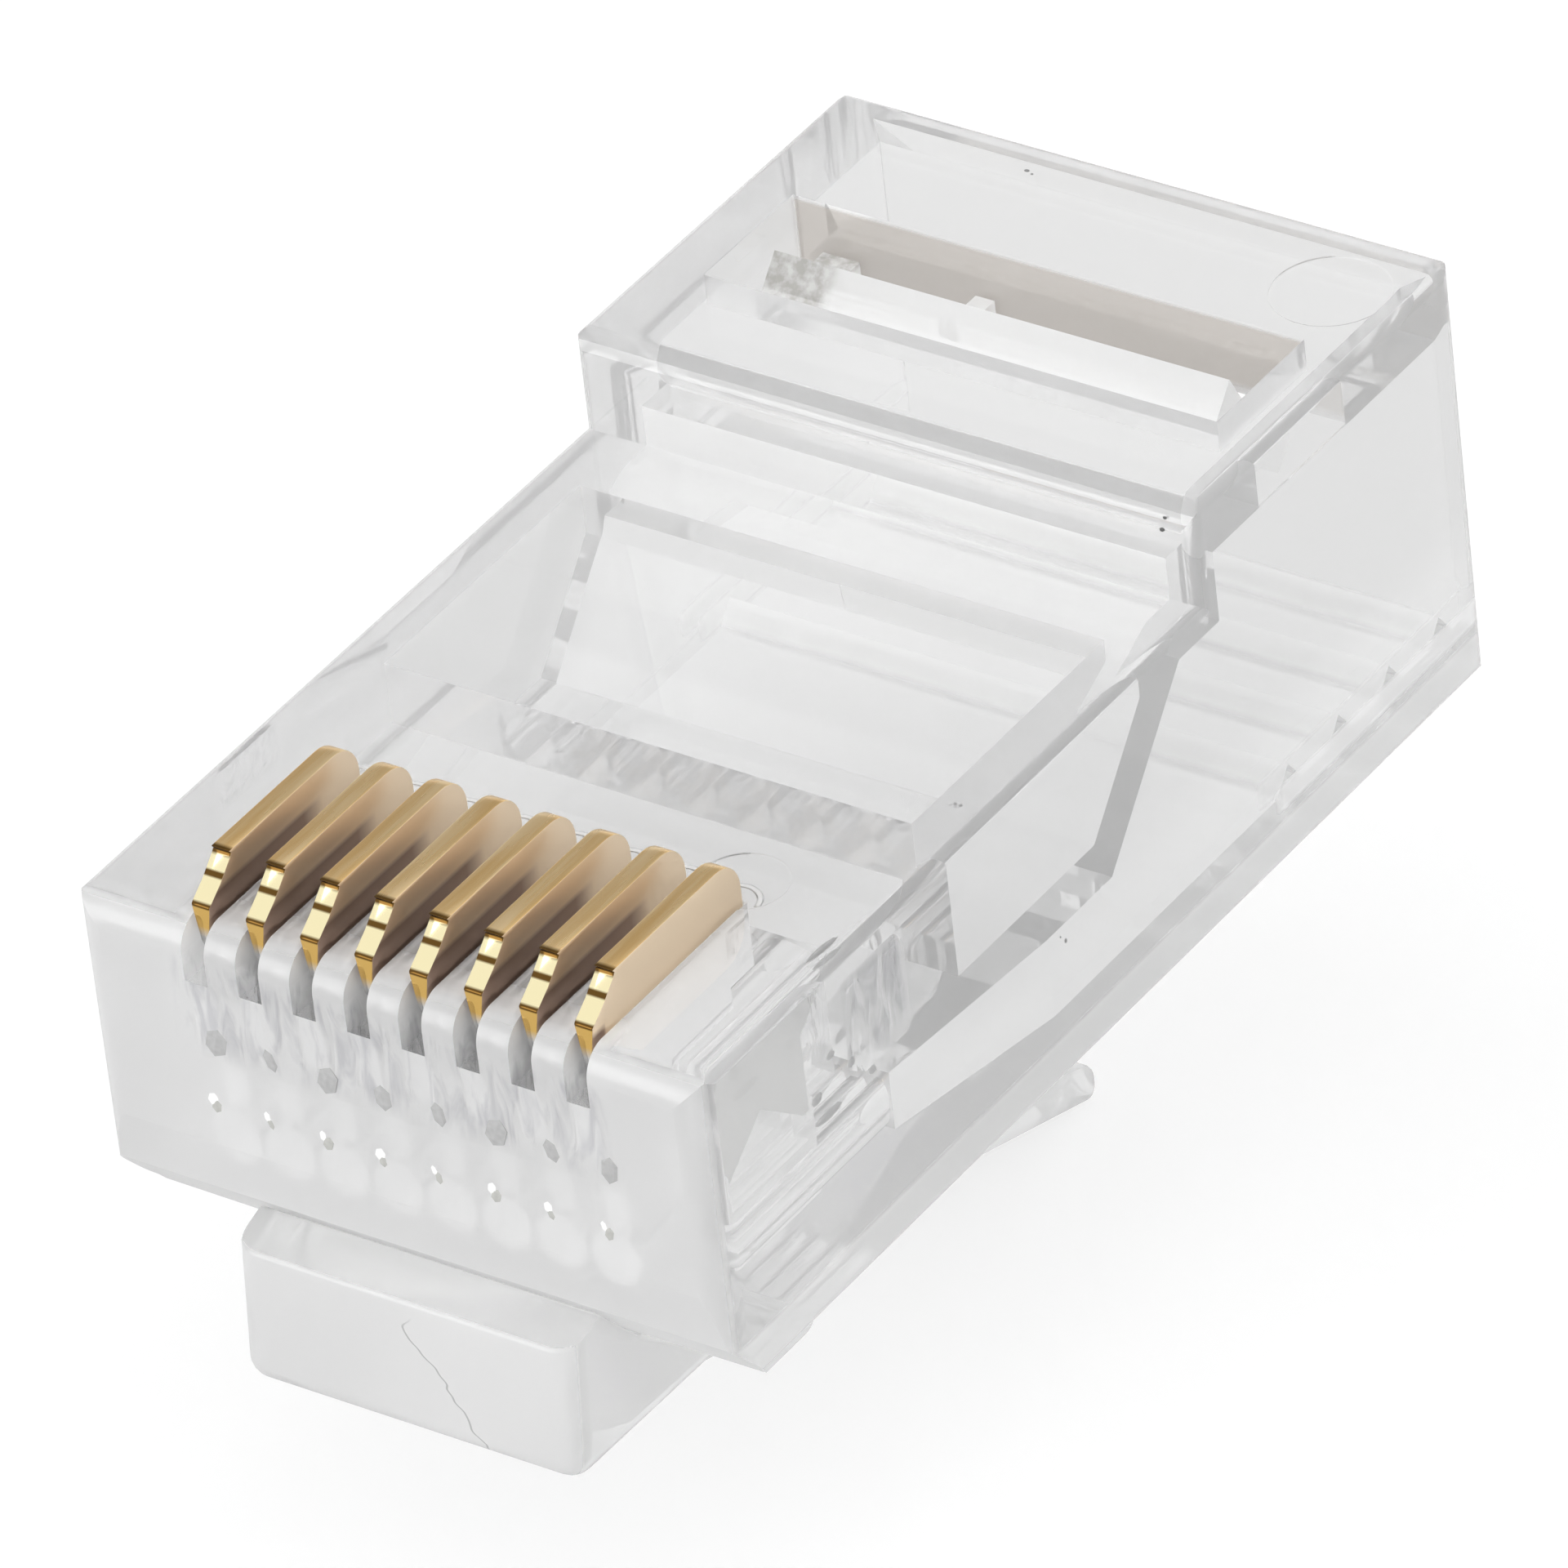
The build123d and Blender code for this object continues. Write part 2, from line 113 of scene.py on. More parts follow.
# %% [markdown]
# ## Floor, light tent and lamps
#
# Clear plastic has hardly a colour of its own: what is seen is the room, bent by its edges. So it
# is lit in a white tent. The tent is the world here, plain white to the camera, and to the plug
# white with one darker side, so that the plastic's edges and the gold have something to mirror.

# %% Small helpers for shader nodes
def new_tree(owner):
    """An empty node tree on a material or world."""
    owner.use_nodes = True
    owner.node_tree.nodes.clear()
    return owner.node_tree


def add_node(tree, kind, inputs=None, **settings):
    """A node of a kind, with its settings and input values."""
    node = tree.nodes.new(kind)
    for key, value in settings.items():
        setattr(node, key, value)
    for key, value in (inputs or {}).items():
        if isinstance(value, bpy.types.NodeSocket):
            tree.links.new(value, node.inputs[key])
        else:
            node.inputs[key].default_value = value
    return node


def colour_inputs(mix, first, second):
    """Set or link the two colours of a Mix node."""
    sockets = [socket for socket in mix.inputs if socket.type == "RGBA"]
    for socket, value in zip(sockets, (first, second)):
        if isinstance(value, bpy.types.NodeSocket):
            mix.id_data.links.new(value, socket)
        else:
            socket.default_value = value


def colour_output(mix):
    """The colour that a Mix node gives."""
    return next(socket for socket in mix.outputs if socket.type == "RGBA")


def link(tree, source, target):
    """Join two sockets."""
    tree.links.new(source, target)


def grey(level):
    """A grey as a shader wants it."""
    return (level, level, level, 1.0)


def blend_colours(tree, factor, first, second):
    """The first colour where the factor is 0, the second where it is 1."""
    mix = add_node(tree, "ShaderNodeMix", {"Factor": factor}, data_type="RGBA")
    colour_inputs(mix, first, second)
    return colour_output(mix)


def ramp(tree, value, low, high, start=0.0, end=1.0):
    """A level that goes from start to end while the value goes from low to high."""
    return add_node(tree, "ShaderNodeMapRange", {
        "Value": value, "From Min": low, "From Max": high, "To Min": start, "To Max": end,
    }).outputs[0]


def maths(tree, operation, first, second=0.0):
    """One sum on two numbers or sockets."""
    return add_node(tree, "ShaderNodeMath", {0: first, 1: second}, operation=operation).outputs[0]


def stripe(tree, value, centre, half):
    """1 on a line where the value is the centre, and 0 beyond half its width."""
    away = maths(tree, "ABSOLUTE", maths(tree, "SUBTRACT", value, centre))
    return ramp(tree, away, half / 2, half, 1.0, 0.0)


# %% World
DARK_SIDE = Vector((-0.50, 0.65, 0.57))
DARK_SIDE_LEVEL = 0.45
DARK_SIDE_EDGE = (0.80, 0.96)
TENT_LEVEL = 0.93


def make_world():
    """White to the camera, and to the plug a white tent with one darker side."""
    world = bpy.data.worlds.new("light_tent")
    bpy.context.scene.world = world
    tree = new_tree(world)
    direction = add_node(tree, "ShaderNodeTexCoord").outputs["Generated"]
    unit = add_node(tree, "ShaderNodeVectorMath", {0: direction}, operation="NORMALIZE")
    facing = add_node(tree, "ShaderNodeVectorMath", {0: unit.outputs[0], 1: DARK_SIDE.normalized()},
                      operation="DOT_PRODUCT")
    level = add_node(tree, "ShaderNodeMapRange", {
        "Value": facing.outputs["Value"], "From Min": DARK_SIDE_EDGE[0], "From Max": DARK_SIDE_EDGE[1],
        "To Min": TENT_LEVEL, "To Max": DARK_SIDE_LEVEL,
    }, interpolation_type="SMOOTHSTEP")
    tent = add_node(tree, "ShaderNodeBackground", {"Color": grey(1.0), "Strength": level.outputs[0]})
    white = add_node(tree, "ShaderNodeBackground", {"Color": grey(1.0), "Strength": 1.0})
    ray = add_node(tree, "ShaderNodeLightPath")
    mix = add_node(tree, "ShaderNodeMixShader", {
        0: ray.outputs["Is Camera Ray"], 1: tent.outputs[0], 2: white.outputs[0],
    })
    add_node(tree, "ShaderNodeOutputWorld", {"Surface": mix.outputs[0]})


make_world()

# %% Floor
FLOOR_SIZE = 4.0
FLOOR_ALBEDO = 0.70
FLOOR_GLOW = 0.36  # to the camera, so that the table is white
FLOOR_SHEEN = 0.07  # to rays that reach it through the plastic or off the metal


def make_floor():
    """White table under the plug. A little glow keeps it white to the eye, and shadows still show."""
    deselect_all()
    bpy.ops.mesh.primitive_plane_add(size=FLOOR_SIZE, location=(0, 0, cad_low.z))
    floor = bpy.context.object
    floor.name = "floor"
    bpy.ops.object.transform_apply(location=True)
    material = bpy.data.materials.new("white_table")
    tree = new_tree(material)
    paint = add_node(tree, "ShaderNodeBsdfDiffuse", {"Color": grey(FLOOR_ALBEDO)})
    glow = add_node(tree, "ShaderNodeEmission", {"Color": grey(1.0)})
    ray = add_node(tree, "ShaderNodeLightPath")
    bent = add_node(tree, "ShaderNodeMath", {
        0: ray.outputs["Is Glossy Ray"], 1: ray.outputs["Is Transmission Ray"],
    }, operation="MAXIMUM")
    bent = add_node(tree, "ShaderNodeMath", {0: bent.outputs[0], 1: FLOOR_SHEEN}, operation="MULTIPLY")
    strength = add_node(tree, "ShaderNodeMath", {
        0: ray.outputs["Is Camera Ray"], 1: FLOOR_GLOW, 2: bent.outputs[0],
    }, operation="MULTIPLY_ADD")
    link(tree, strength.outputs[0], glow.inputs["Strength"])
    both = add_node(tree, "ShaderNodeAddShader", {0: paint.outputs[0], 1: glow.outputs[0]})
    add_node(tree, "ShaderNodeOutputMaterial", {"Surface": both.outputs[0]})
    floor.data.materials.append(material)
    return floor


floor = make_floor()

# %% Lamps
LIGHT_BOUNCES = 24  # light crosses many walls before it leaves the plastic
LAMPS = {  # direction, distance, size and power
    "key_softbox": ((-0.45, -0.85, 0.30), 0.45, 0.30, 0.7),
    "rim_softbox": ((0.85, 0.10, 0.45), 0.45, 0.16, 0.25),
}


def make_lamp(name, direction, distance, size, power):
    """A square softbox that faces the plug."""
    data = bpy.data.lights.new(name, "AREA")
    data.shape = "SQUARE"
    data.size = size
    data.energy = power
    lamp = bpy.data.objects.new(name, data)
    bpy.context.scene.collection.objects.link(lamp)
    place = CAMERA_AIM + Vector(direction).normalized() * distance
    turn = (CAMERA_AIM - place).to_track_quat("-Z", "Y").to_matrix().to_4x4()
    lamp.matrix_world = Matrix.Translation(place) @ turn
    lamp.visible_transmission = False  # no white square through the plastic
    return lamp


for name, (direction, distance, size, power) in LAMPS.items():
    make_lamp(name, direction, distance, size, power)
bpy.context.scene.view_settings.view_transform = "Standard"
bpy.context.scene.cycles.max_bounces = LIGHT_BOUNCES
bpy.context.scene.cycles.transmission_bounces = LIGHT_BOUNCES

# %% [markdown]
# ## Clear plastic
#
# The body is polished polycarbonate, moulded in one shot. It bends light strongly, it is very slightly
# grey, and its skin is never quite flat. A glass shader gives the bending, and slow noise bends its surface
# a little. One even plastic would still look too clean: places such as the comb, the nose's front and the
# wall behind the jacket clamp are whiter or duller in the photo, which doesn't say why. Here the whiter
# places are painted highlights and the duller ones painted shade. Each such place has a mask, which is 1
# there and 0 elsewhere, built from the distances across, back and up, so that it stays on the plug from
# every side.

# %% Small helpers for masks
def above(tree, value, limits):
    """0 below the first limit and 1 above the second."""
    return ramp(tree, value, *limits)


def below(tree, value, limits):
    """1 below the first limit and 0 above the second."""
    return ramp(tree, value, *limits, 1.0, 0.0)


def unsigned(tree, value):
    """The value without its sign."""
    return maths(tree, "ABSOLUTE", value)


def product(tree, *factors):
    """All factors multiplied: 1 only where each of them is."""
    result = factors[0]
    for factor in factors[1:]:
        result = maths(tree, "MULTIPLY", result, factor)
    return result


def lower(tree, level, mask, target):
    """The level, brought down to a target where the mask is 1."""
    return maths(tree, "MINIMUM", level, ramp(tree, mask, 0.0, 1.0, 1.0, target))


# %% Painted highlights: whiter tips of the comb and crests of the cable ridges
COMB_HALF = (3.75 * MM, 4.1 * MM)
COMB_BACK = (0.75 * MM, 1.1 * MM)
COMB_FOOT = (4.75 * MM, 5.2 * MM)
RIDGE_FOOT = (0.95 * MM, 1.05 * MM)
RIDGE_TOP = (1.40 * MM, 1.50 * MM)
RIDGE_FRONT = (15.5 * MM, 15.8 * MM)


def comb_highlight_mask(tree, across, back, height):
    """1 on the tips of the comb between the contacts, where a highlight is painted."""
    front = product(tree, below(tree, unsigned(tree, across), COMB_HALF), below(tree, back, COMB_BACK))
    return product(tree, front, above(tree, height, COMB_FOOT))


def ridge_highlight_mask(tree, across, back, height):
    """1 on the crests of the ridges that grip the cable's jacket, right across the body, where a highlight
    is painted.
    """
    low = product(tree, above(tree, height, RIDGE_FOOT), below(tree, height, RIDGE_TOP))
    return product(tree, low, above(tree, back, RIDGE_FRONT))


# %% Painted shade: beige rear wall of the jacket clamp's window
WINDOW_BACK = (18.95 * MM, 0.10 * MM)  # the wall's place and half the depth that is tinted
WINDOW_FOOT = (6.3 * MM, 6.5 * MM)
WINDOW_TOP = (7.60 * MM, 7.68 * MM)
WINDOW_HALF = (4.80 * MM, 4.86 * MM)


def window_shade_mask(tree, across, back, height):
    """1 on the rear wall of the window behind the jacket clamp, where a beige shade is painted."""
    wall = product(tree, stripe(tree, back, *WINDOW_BACK), above(tree, height, WINDOW_FOOT))
    wall = product(tree, wall, below(tree, height, WINDOW_TOP))
    return product(tree, wall, below(tree, unsigned(tree, across), WINDOW_HALF))


# %% Painted shade on the walls of the upper pocket and on the body's sides
POCKET_HALF = (4.92 * MM, 4.98 * MM)
POCKET_FRONT = (7.20 * MM, 7.26 * MM)
POCKET_REAR = (12.72 * MM, 12.78 * MM)
POCKET_FOOT = (3.05 * MM, 3.15 * MM)
POCKET_TOP = (5.70 * MM, 5.85 * MM)
SIDE_FACE = (5.70 * MM, 5.80 * MM)
SIDE_FRONT = (5.5 * MM, 7.0 * MM)
SIDE_FOOT = (2.2 * MM, 3.2 * MM)


def pocket_side_shade_mask(tree, across, back, height):
    """1 inside the pocket over the wires, and on the upper part of the body's sides, where shade is
    painted.
    """
    aside = unsigned(tree, across)
    pocket = product(tree, below(tree, aside, POCKET_HALF), above(tree, back, POCKET_FRONT))
    pocket = product(tree, pocket, below(tree, back, POCKET_REAR), above(tree, height, POCKET_FOOT))
    pocket = product(tree, pocket, below(tree, height, POCKET_TOP))
    side = product(tree, above(tree, aside, SIDE_FACE), above(tree, back, SIDE_FRONT))
    side = product(tree, side, above(tree, height, SIDE_FOOT))
    return maths(tree, "MAXIMUM", pocket, side)


# %% Half rings behind the slots
WIRE_PITCH = 1.016 * MM
SCALLOP_BACK = 4.38 * MM
SCALLOP_RING = (0.42 * MM, 0.06 * MM)  # radius and half width
SCALLOP_START = (0.0, 0.05 * MM)
SCALLOP_TOP = (5.80 * MM, 5.85 * MM)
SCALLOP_HALF = (3.98 * MM, 4.08 * MM)


def scallop_mask(tree, across, back, height):
    """1 on a half ring round each slot's rear end, on the nose's top."""
    slot_share = maths(tree, "FRACT", maths(tree, "DIVIDE", across, WIRE_PITCH))
    aside = product(tree, maths(tree, "SUBTRACT", slot_share, 0.5), WIRE_PITCH)
    behind = maths(tree, "SUBTRACT", back, SCALLOP_BACK)
    square = maths(tree, "ADD", product(tree, aside, aside), product(tree, behind, behind))
    ring = stripe(tree, maths(tree, "SQRT", square), *SCALLOP_RING)
    ring = product(tree, ring, above(tree, behind, SCALLOP_START), above(tree, height, SCALLOP_TOP))
    return product(tree, ring, below(tree, unsigned(tree, across), SCALLOP_HALF))


# %% Wrinkled skin round the comb
CRUMPLE_FOOT = (3.5 * MM, 3.9 * MM)
CRUMPLE_SIDE = (3.8 * MM, 5.3 * MM)
CRUMPLE_FADE = 0.2 * MM
CRUMPLE_GRAIN = (3600.0, 3000.0, 900.0)
CRUMPLE_HEIGHT = 0.05 * MM


def crumple_mask(tree, across, back, height):
    """1 under the comb on the nose's front, and on its sides behind the last blade."""
    aside = unsigned(tree, across)
    side_start, side_end, top = CRUMPLE_SIDE[0], CRUMPLE_SIDE[1], COMB_FOOT[1]
    front = product(tree, below(tree, aside, COMB_HALF), below(tree, back, COMB_BACK))
    side = product(tree, above(tree, back, (side_start, side_start + CRUMPLE_FADE)),
                   below(tree, back, (side_end, side_end + CRUMPLE_FADE)))
    low = product(tree, above(tree, height, CRUMPLE_FOOT), below(tree, height, (top, top + CRUMPLE_FADE)))
    return product(tree, low, maths(tree, "MAXIMUM", front, side))


def make_folds(tree, place):
    """Noise drawn out upwards, for the wrinkles."""
    stretched = add_node(tree, "ShaderNodeMapping", {"Vector": place, "Scale": CRUMPLE_GRAIN})
    return add_node(tree, "ShaderNodeTexNoise", {
        "Vector": stretched.outputs[0], "Scale": 1.0, "Detail": 3.0, "Distortion": 1.0,
    }).outputs["Fac"]


# %% Front faces of the nose and the latch
FACE_FACING = (-0.55, -0.15)
FACE_BACK = (1.25 * MM, 1.35 * MM)


def face_mask(tree, normal, back):
    """1 on the faces that look forwards, at the front of the plug."""
    facing = add_node(tree, "ShaderNodeSeparateXYZ", {0: normal}).outputs["Y"]
    return product(tree, below(tree, facing, FACE_FACING), below(tree, back, FACE_BACK))


# %% [markdown]
# The masks now go into one material. Three things change from place to place: the tint, the share of light
# that goes straight through, and the small bumps. Each has a function of its own. A hazier line along the
# lead-in edge is a painted highlight, and the underside is made a little hazier too. To a lamp's shadow ray
# the walls are plain grey glass, because bent shadows would take far too long to render.

# %% Tint of the plastic
PLASTIC_TINT = grey(0.975)
PLASTIC_CLOUD = grey(0.990)
POCKET_SIDE_SHADE_TINT = grey(0.90)
WINDOW_SHADE_BEIGE = (0.60, 0.56, 0.52, 1.0)
COMB_HIGHLIGHT_WHITE = grey(0.99)
FACE_SHADE_TINT = grey(0.87)
CREASE_SHADE_GREY = (0.66, 0.66, 0.68, 1.0)
STREAK_LEVEL = (0.46, 0.66)


def plastic_tint(tree, cloud, masks):
    """The plastic's colour, with its places of painted shade and painted highlight, and grey streaks of
    painted shade on the wrinkles.
    """
    tint = blend_colours(tree, cloud, PLASTIC_TINT, PLASTIC_CLOUD)
    # Painted shade: the pocket and the upper sides are tinted a darker grey.
    tint = blend_colours(tree, masks["dull"], tint, POCKET_SIDE_SHADE_TINT)
    # Painted shade: the window's rear wall is tinted a darker beige.
    tint = blend_colours(tree, masks["window"], tint, WINDOW_SHADE_BEIGE)
    # Painted highlight: the comb's tips and the ridges' crests are tinted whiter.
    tint = blend_colours(tree, masks["white"], tint, COMB_HIGHLIGHT_WHITE)
    # Painted shade: the forward faces are tinted a darker grey; their frosting comes from clearness and
    # roughness.
    tint = blend_colours(tree, masks["face"], tint, FACE_SHADE_TINT)
    # Painted shade: grey streaks on the wrinkles round the comb.
    crease_shade = product(tree, above(tree, masks["folds"], STREAK_LEVEL), masks["crumple"])
    return blend_colours(tree, crease_shade, tint, CREASE_SHADE_GREY)


# %% Clearness of the plastic
COMB_CLEAR = 0.45
WINDOW_CLEAR = 0.45
FACE_CLEAR = 0.45  # the front faces look frosted
LEAD_IN_HIGHLIGHT_LINE = (1.85 * MM, 0.07 * MM)
SOLE_TOP = (0.75 * MM, 1.0 * MM)
SOLE_CLEAR = 0.58  # the underside looks duller than the rest


def plastic_clearness(tree, clearness, height, masks):
    """The share of light that passes: the rest is scattered by haze in the skin."""
    hazy = maths(tree, "MAXIMUM", masks["white"], masks["scallops"])
    clear = ramp(tree, hazy, 0.0, 1.0, clearness, COMB_CLEAR)
    clear = lower(tree, clear, masks["window"], WINDOW_CLEAR)
    clear = lower(tree, clear, masks["face"], FACE_CLEAR)
    # Painted highlight: a hazier line across the forward faces where the lead-in starts.
    lead_in_highlight = product(tree, masks["face"], stripe(tree, height, *LEAD_IN_HIGHLIGHT_LINE))
    clear = lower(tree, clear, lead_in_highlight, COMB_CLEAR)
    return maths(tree, "MINIMUM", clear, ramp(tree, height, *SOLE_TOP, SOLE_CLEAR, 1.0))


# %% Bumps of the plastic
WAVE_SCALE = 260.0
WAVE_STRENGTH = 0.10
WAVE_HEIGHT = 0.02 * MM


def plastic_bumps(tree, place, masks):
    """Soft waves all over, the wrinkles round the comb and the half rings behind the slots."""
    waves = add_node(tree, "ShaderNodeTexNoise", {
        "Vector": place, "Scale": WAVE_SCALE, "Detail": 3.0, "Roughness": 0.5,
    })
    soft = add_node(tree, "ShaderNodeBump", {
        "Strength": WAVE_STRENGTH, "Distance": WAVE_HEIGHT, "Height": waves.outputs["Fac"],
    })
    folds = maths(tree, "MAXIMUM", product(tree, masks["folds"], masks["crumple"]), masks["scallops"])
    return add_node(tree, "ShaderNodeBump", {
        "Strength": 1.0, "Distance": CRUMPLE_HEIGHT, "Height": folds, "Normal": soft.outputs[0],
    }).outputs[0]


# %% Clear plastic
PLASTIC_IOR = 1.585
PLASTIC_CLEAR = 0.78
BENT_CLEAR = 0.55  # the jacket clamp is whiter than the rest
PLASTIC_SHADE = grey(0.92)  # what a lamp's light keeps at each wall
PLASTIC_ROUGHNESS = (0.0, 0.02)
FACE_ROUGHNESS = 0.28


def make_masks(tree, coordinates, where):
    """The masks of all the places that differ, by name."""
    return {
        "white": maths(tree, "MAXIMUM", comb_highlight_mask(tree, *where), ridge_highlight_mask(tree, *where)),
        "window": window_shade_mask(tree, *where),
        "dull": pocket_side_shade_mask(tree, *where),
        "scallops": scallop_mask(tree, *where),
        "crumple": crumple_mask(tree, *where),
        "folds": make_folds(tree, coordinates["Object"]),
        "face": face_mask(tree, coordinates["Normal"], where[1]),
    }


def make_clear_plastic(name, clearness):
    """Polished polycarbonate with a faint grey cast, soft waves, and hazier places."""
    material = bpy.data.materials.new(name)
    tree = new_tree(material)
    coordinates = add_node(tree, "ShaderNodeTexCoord").outputs
    place = coordinates["Object"]
    where = add_node(tree, "ShaderNodeSeparateXYZ", {0: place}).outputs[:]  # across, back and up
    masks = make_masks(tree, coordinates, where)
    cloud = add_node(tree, "ShaderNodeTexNoise", {
        "Vector": place, "Scale": WAVE_SCALE / 3, "Detail": 2.0,
    }).outputs["Fac"]
    polish = ramp(tree, cloud, 0.0, 1.0, *PLASTIC_ROUGHNESS)
    skin = add_node(tree, "ShaderNodeBsdfPrincipled", {
        "Base Color": plastic_tint(tree, cloud, masks),
        "Roughness": maths(tree, "MAXIMUM", polish, product(tree, masks["face"], FACE_ROUGHNESS)),
        "IOR": PLASTIC_IOR,
        "Transmission Weight": plastic_clearness(tree, clearness, where[2], masks),
        "Normal": plastic_bumps(tree, place, masks),
    })
    passing = add_node(tree, "ShaderNodeBsdfTransparent", {"Color": PLASTIC_SHADE})
    ray = add_node(tree, "ShaderNodeLightPath")
    mixed = add_node(tree, "ShaderNodeMixShader", {
        0: ray.outputs["Is Shadow Ray"], 1: skin.outputs[0], 2: passing.outputs[0],
    })
    add_node(tree, "ShaderNodeOutputMaterial", {"Surface": mixed.outputs[0]})
    return material


clear_plastic = make_clear_plastic("clear_polycarbonate", PLASTIC_CLEAR)
bent_plastic = make_clear_plastic("stressed_polycarbonate", BENT_CLEAR)
latch_plastic = make_clear_plastic("latch_polycarbonate", PLASTIC_CLEAR)
print("plastics:", [material.name for material in (clear_plastic, bent_plastic, latch_plastic)])

# %% [markdown]
# Two marks belong to one piece each: a hair-thin wandering line on the latch's front, and a patch of
# painted shade at the left end of the jacket clamp. Each is drawn over the tint that the material has
# already.

# %% Helpers to draw over a finished material
def find_node(tree, kind):
    """The one node of a type in a tree."""
    return next(node for node in tree.nodes if node.type == kind)


def where_in(tree):
    """Sockets with the distances across, back and up."""
    place = find_node(tree, "TEX_COORD").outputs["Object"]
    return add_node(tree, "ShaderNodeSeparateXYZ", {0: place}).outputs


def paint_over(tree, mask, colour):
    """Blend a colour over the tint where the mask is 1."""
    target = find_node(tree, "BSDF_PRINCIPLED").inputs["Base Color"]
    link(tree, blend_colours(tree, mask, target.links[0].from_socket, colour), target)


# %% Flow line on the latch
FLOW_SCALE = 1300.0
FLOW_WANDER = 1.1 * MM
FLOW_SLOPE = -0.70
FLOW_PLACE = -0.45 * MM
FLOW_HALF = 0.025 * MM
FLOW_BACK = (-0.45 * MM, -0.40 * MM)
FLOW_TOP = (-0.10 * MM, 0.10 * MM)
FLOW_GREY = grey(0.48)
FLOW_CLEAR = 0.3  # share of the clearness that is left on the line


def add_flow_line(material):
    """Draw a thin wandering line on the latch's front face."""
    tree = material.node_tree
    across, back, height = where_in(tree)
    wander = add_node(tree, "ShaderNodeTexNoise", {"Scale": FLOW_SCALE, "Detail": 2.0},
                      noise_dimensions="1D")
    link(tree, height, wander.inputs["W"])
    path = product(tree, wander.outputs["Fac"], FLOW_WANDER)
    path = maths(tree, "ADD", path, product(tree, height, FLOW_SLOPE))
    path = maths(tree, "ADD", path, FLOW_PLACE)
    line = stripe(tree, maths(tree, "SUBTRACT", across, path), 0.0, FLOW_HALF)
    line = product(tree, line, below(tree, back, FLOW_BACK), below(tree, height, FLOW_TOP))
    paint_over(tree, line, FLOW_GREY)
    clear = find_node(tree, "BSDF_PRINCIPLED").inputs["Transmission Weight"]
    kept = ramp(tree, line, 0.0, 1.0, 1.0, FLOW_CLEAR)
    link(tree, product(tree, clear.links[0].from_socket, kept), clear)


add_flow_line(latch_plastic)

# %% Painted shade on the jacket clamp's left end
PATCH_LEFT = (-3.3 * MM, -3.0 * MM)
PATCH_FOOT = (6.7 * MM, 6.8 * MM)
PATCH_SHADE_GREY = (0.55, 0.54, 0.51, 1.0)
PATCH_GRAIN = 5000.0
PATCH_SPECKLE = (0.35, 0.6, 0.3, 1.0)  # where the noise starts and ends to show, and how strongly


def add_shade_patch(material):
    """Paint shade over the left end of the jacket clamp, in fine speckles."""
    tree = material.node_tree
    place = find_node(tree, "TEX_COORD").outputs["Object"]
    across, back, height = where_in(tree)
    speckle = add_node(tree, "ShaderNodeTexNoise", {"Vector": place, "Scale": PATCH_GRAIN, "Detail": 3.0})
    patch = product(tree, below(tree, across, PATCH_LEFT), above(tree, height, PATCH_FOOT))
    patch = product(tree, patch, ramp(tree, speckle.outputs["Fac"], *PATCH_SPECKLE))
    # Painted shade: speckled grey over the clamp's left end.
    paint_over(tree, patch, PATCH_SHADE_GREY)


add_shade_patch(bent_plastic)

# %% [markdown]
# ## Plated contacts
#
# Each contact is stamped from thin bronze strip and plated. The edge that meets the jack's spring carries
# polished gold, with a painted highlight on its front facets and painted shade lower on the front and in
# its grooves. The broad sides are duller, and paler with a painted reflection, with a band of painted shade
# low in the comb. The blade and its prongs show grey through the plastic, so they are made plain nickel.

# %% Contact metal
GOLD_PALE = (0.98, 0.74, 0.42, 1.0)
GOLD_DEEP = (0.90, 0.60, 0.26, 1.0)
FRONT_HIGHLIGHT_GOLD = (1.00, 0.90, 0.56, 1.0)
WEDGE_SHADE_GOLD = (0.78, 0.50, 0.15, 1.0)
GROOVE_SHADE_BROWN = (0.15, 0.08, 0.02, 1.0)
SIDE_REFLECTION_GOLD = (0.90, 0.74, 0.55, 1.0)
SIDE_SHADE = (0.40, 0.29, 0.23, 1.0)
NICKEL = (0.66, 0.66, 0.65, 1.0)
GROOVE_SHADE_LINES = ((6.47 * MM, 0.05 * MM), (6.14 * MM, 0.05 * MM))  # dark lines on the front
CAP_BACK = (0.98 * MM, 0.16 * MM)  # dark line across the top, where the bevel ends
CAP_FOOT = (6.66 * MM, 6.70 * MM)
WEDGE_TOP = (6.12 * MM, 6.14 * MM)
SHADE_TOP = (6.28 * MM, 6.38 * MM)
SHADE_REAR = (2.9 * MM, 3.4 * MM)
LAST_SIDE = (3.70 * MM, 3.72 * MM)
NICKEL_TOP = (5.55 * MM, 5.75 * MM)
GRAIN = (5200.0, 420.0, 1500.0)
GRAIN_BLEND = (0.35, 0.65)
GRAIN_BUMP = (0.25, 0.004 * MM)  # strength and height
FRONT_FACING = (-0.55, -0.35)
BROAD_FACING = (0.7, 0.95)
EDGE_ROUGHNESS = (0.16, 0.38)
FRONT_ROUGHNESS = 0.10
BROAD_ROUGHNESS = 0.45


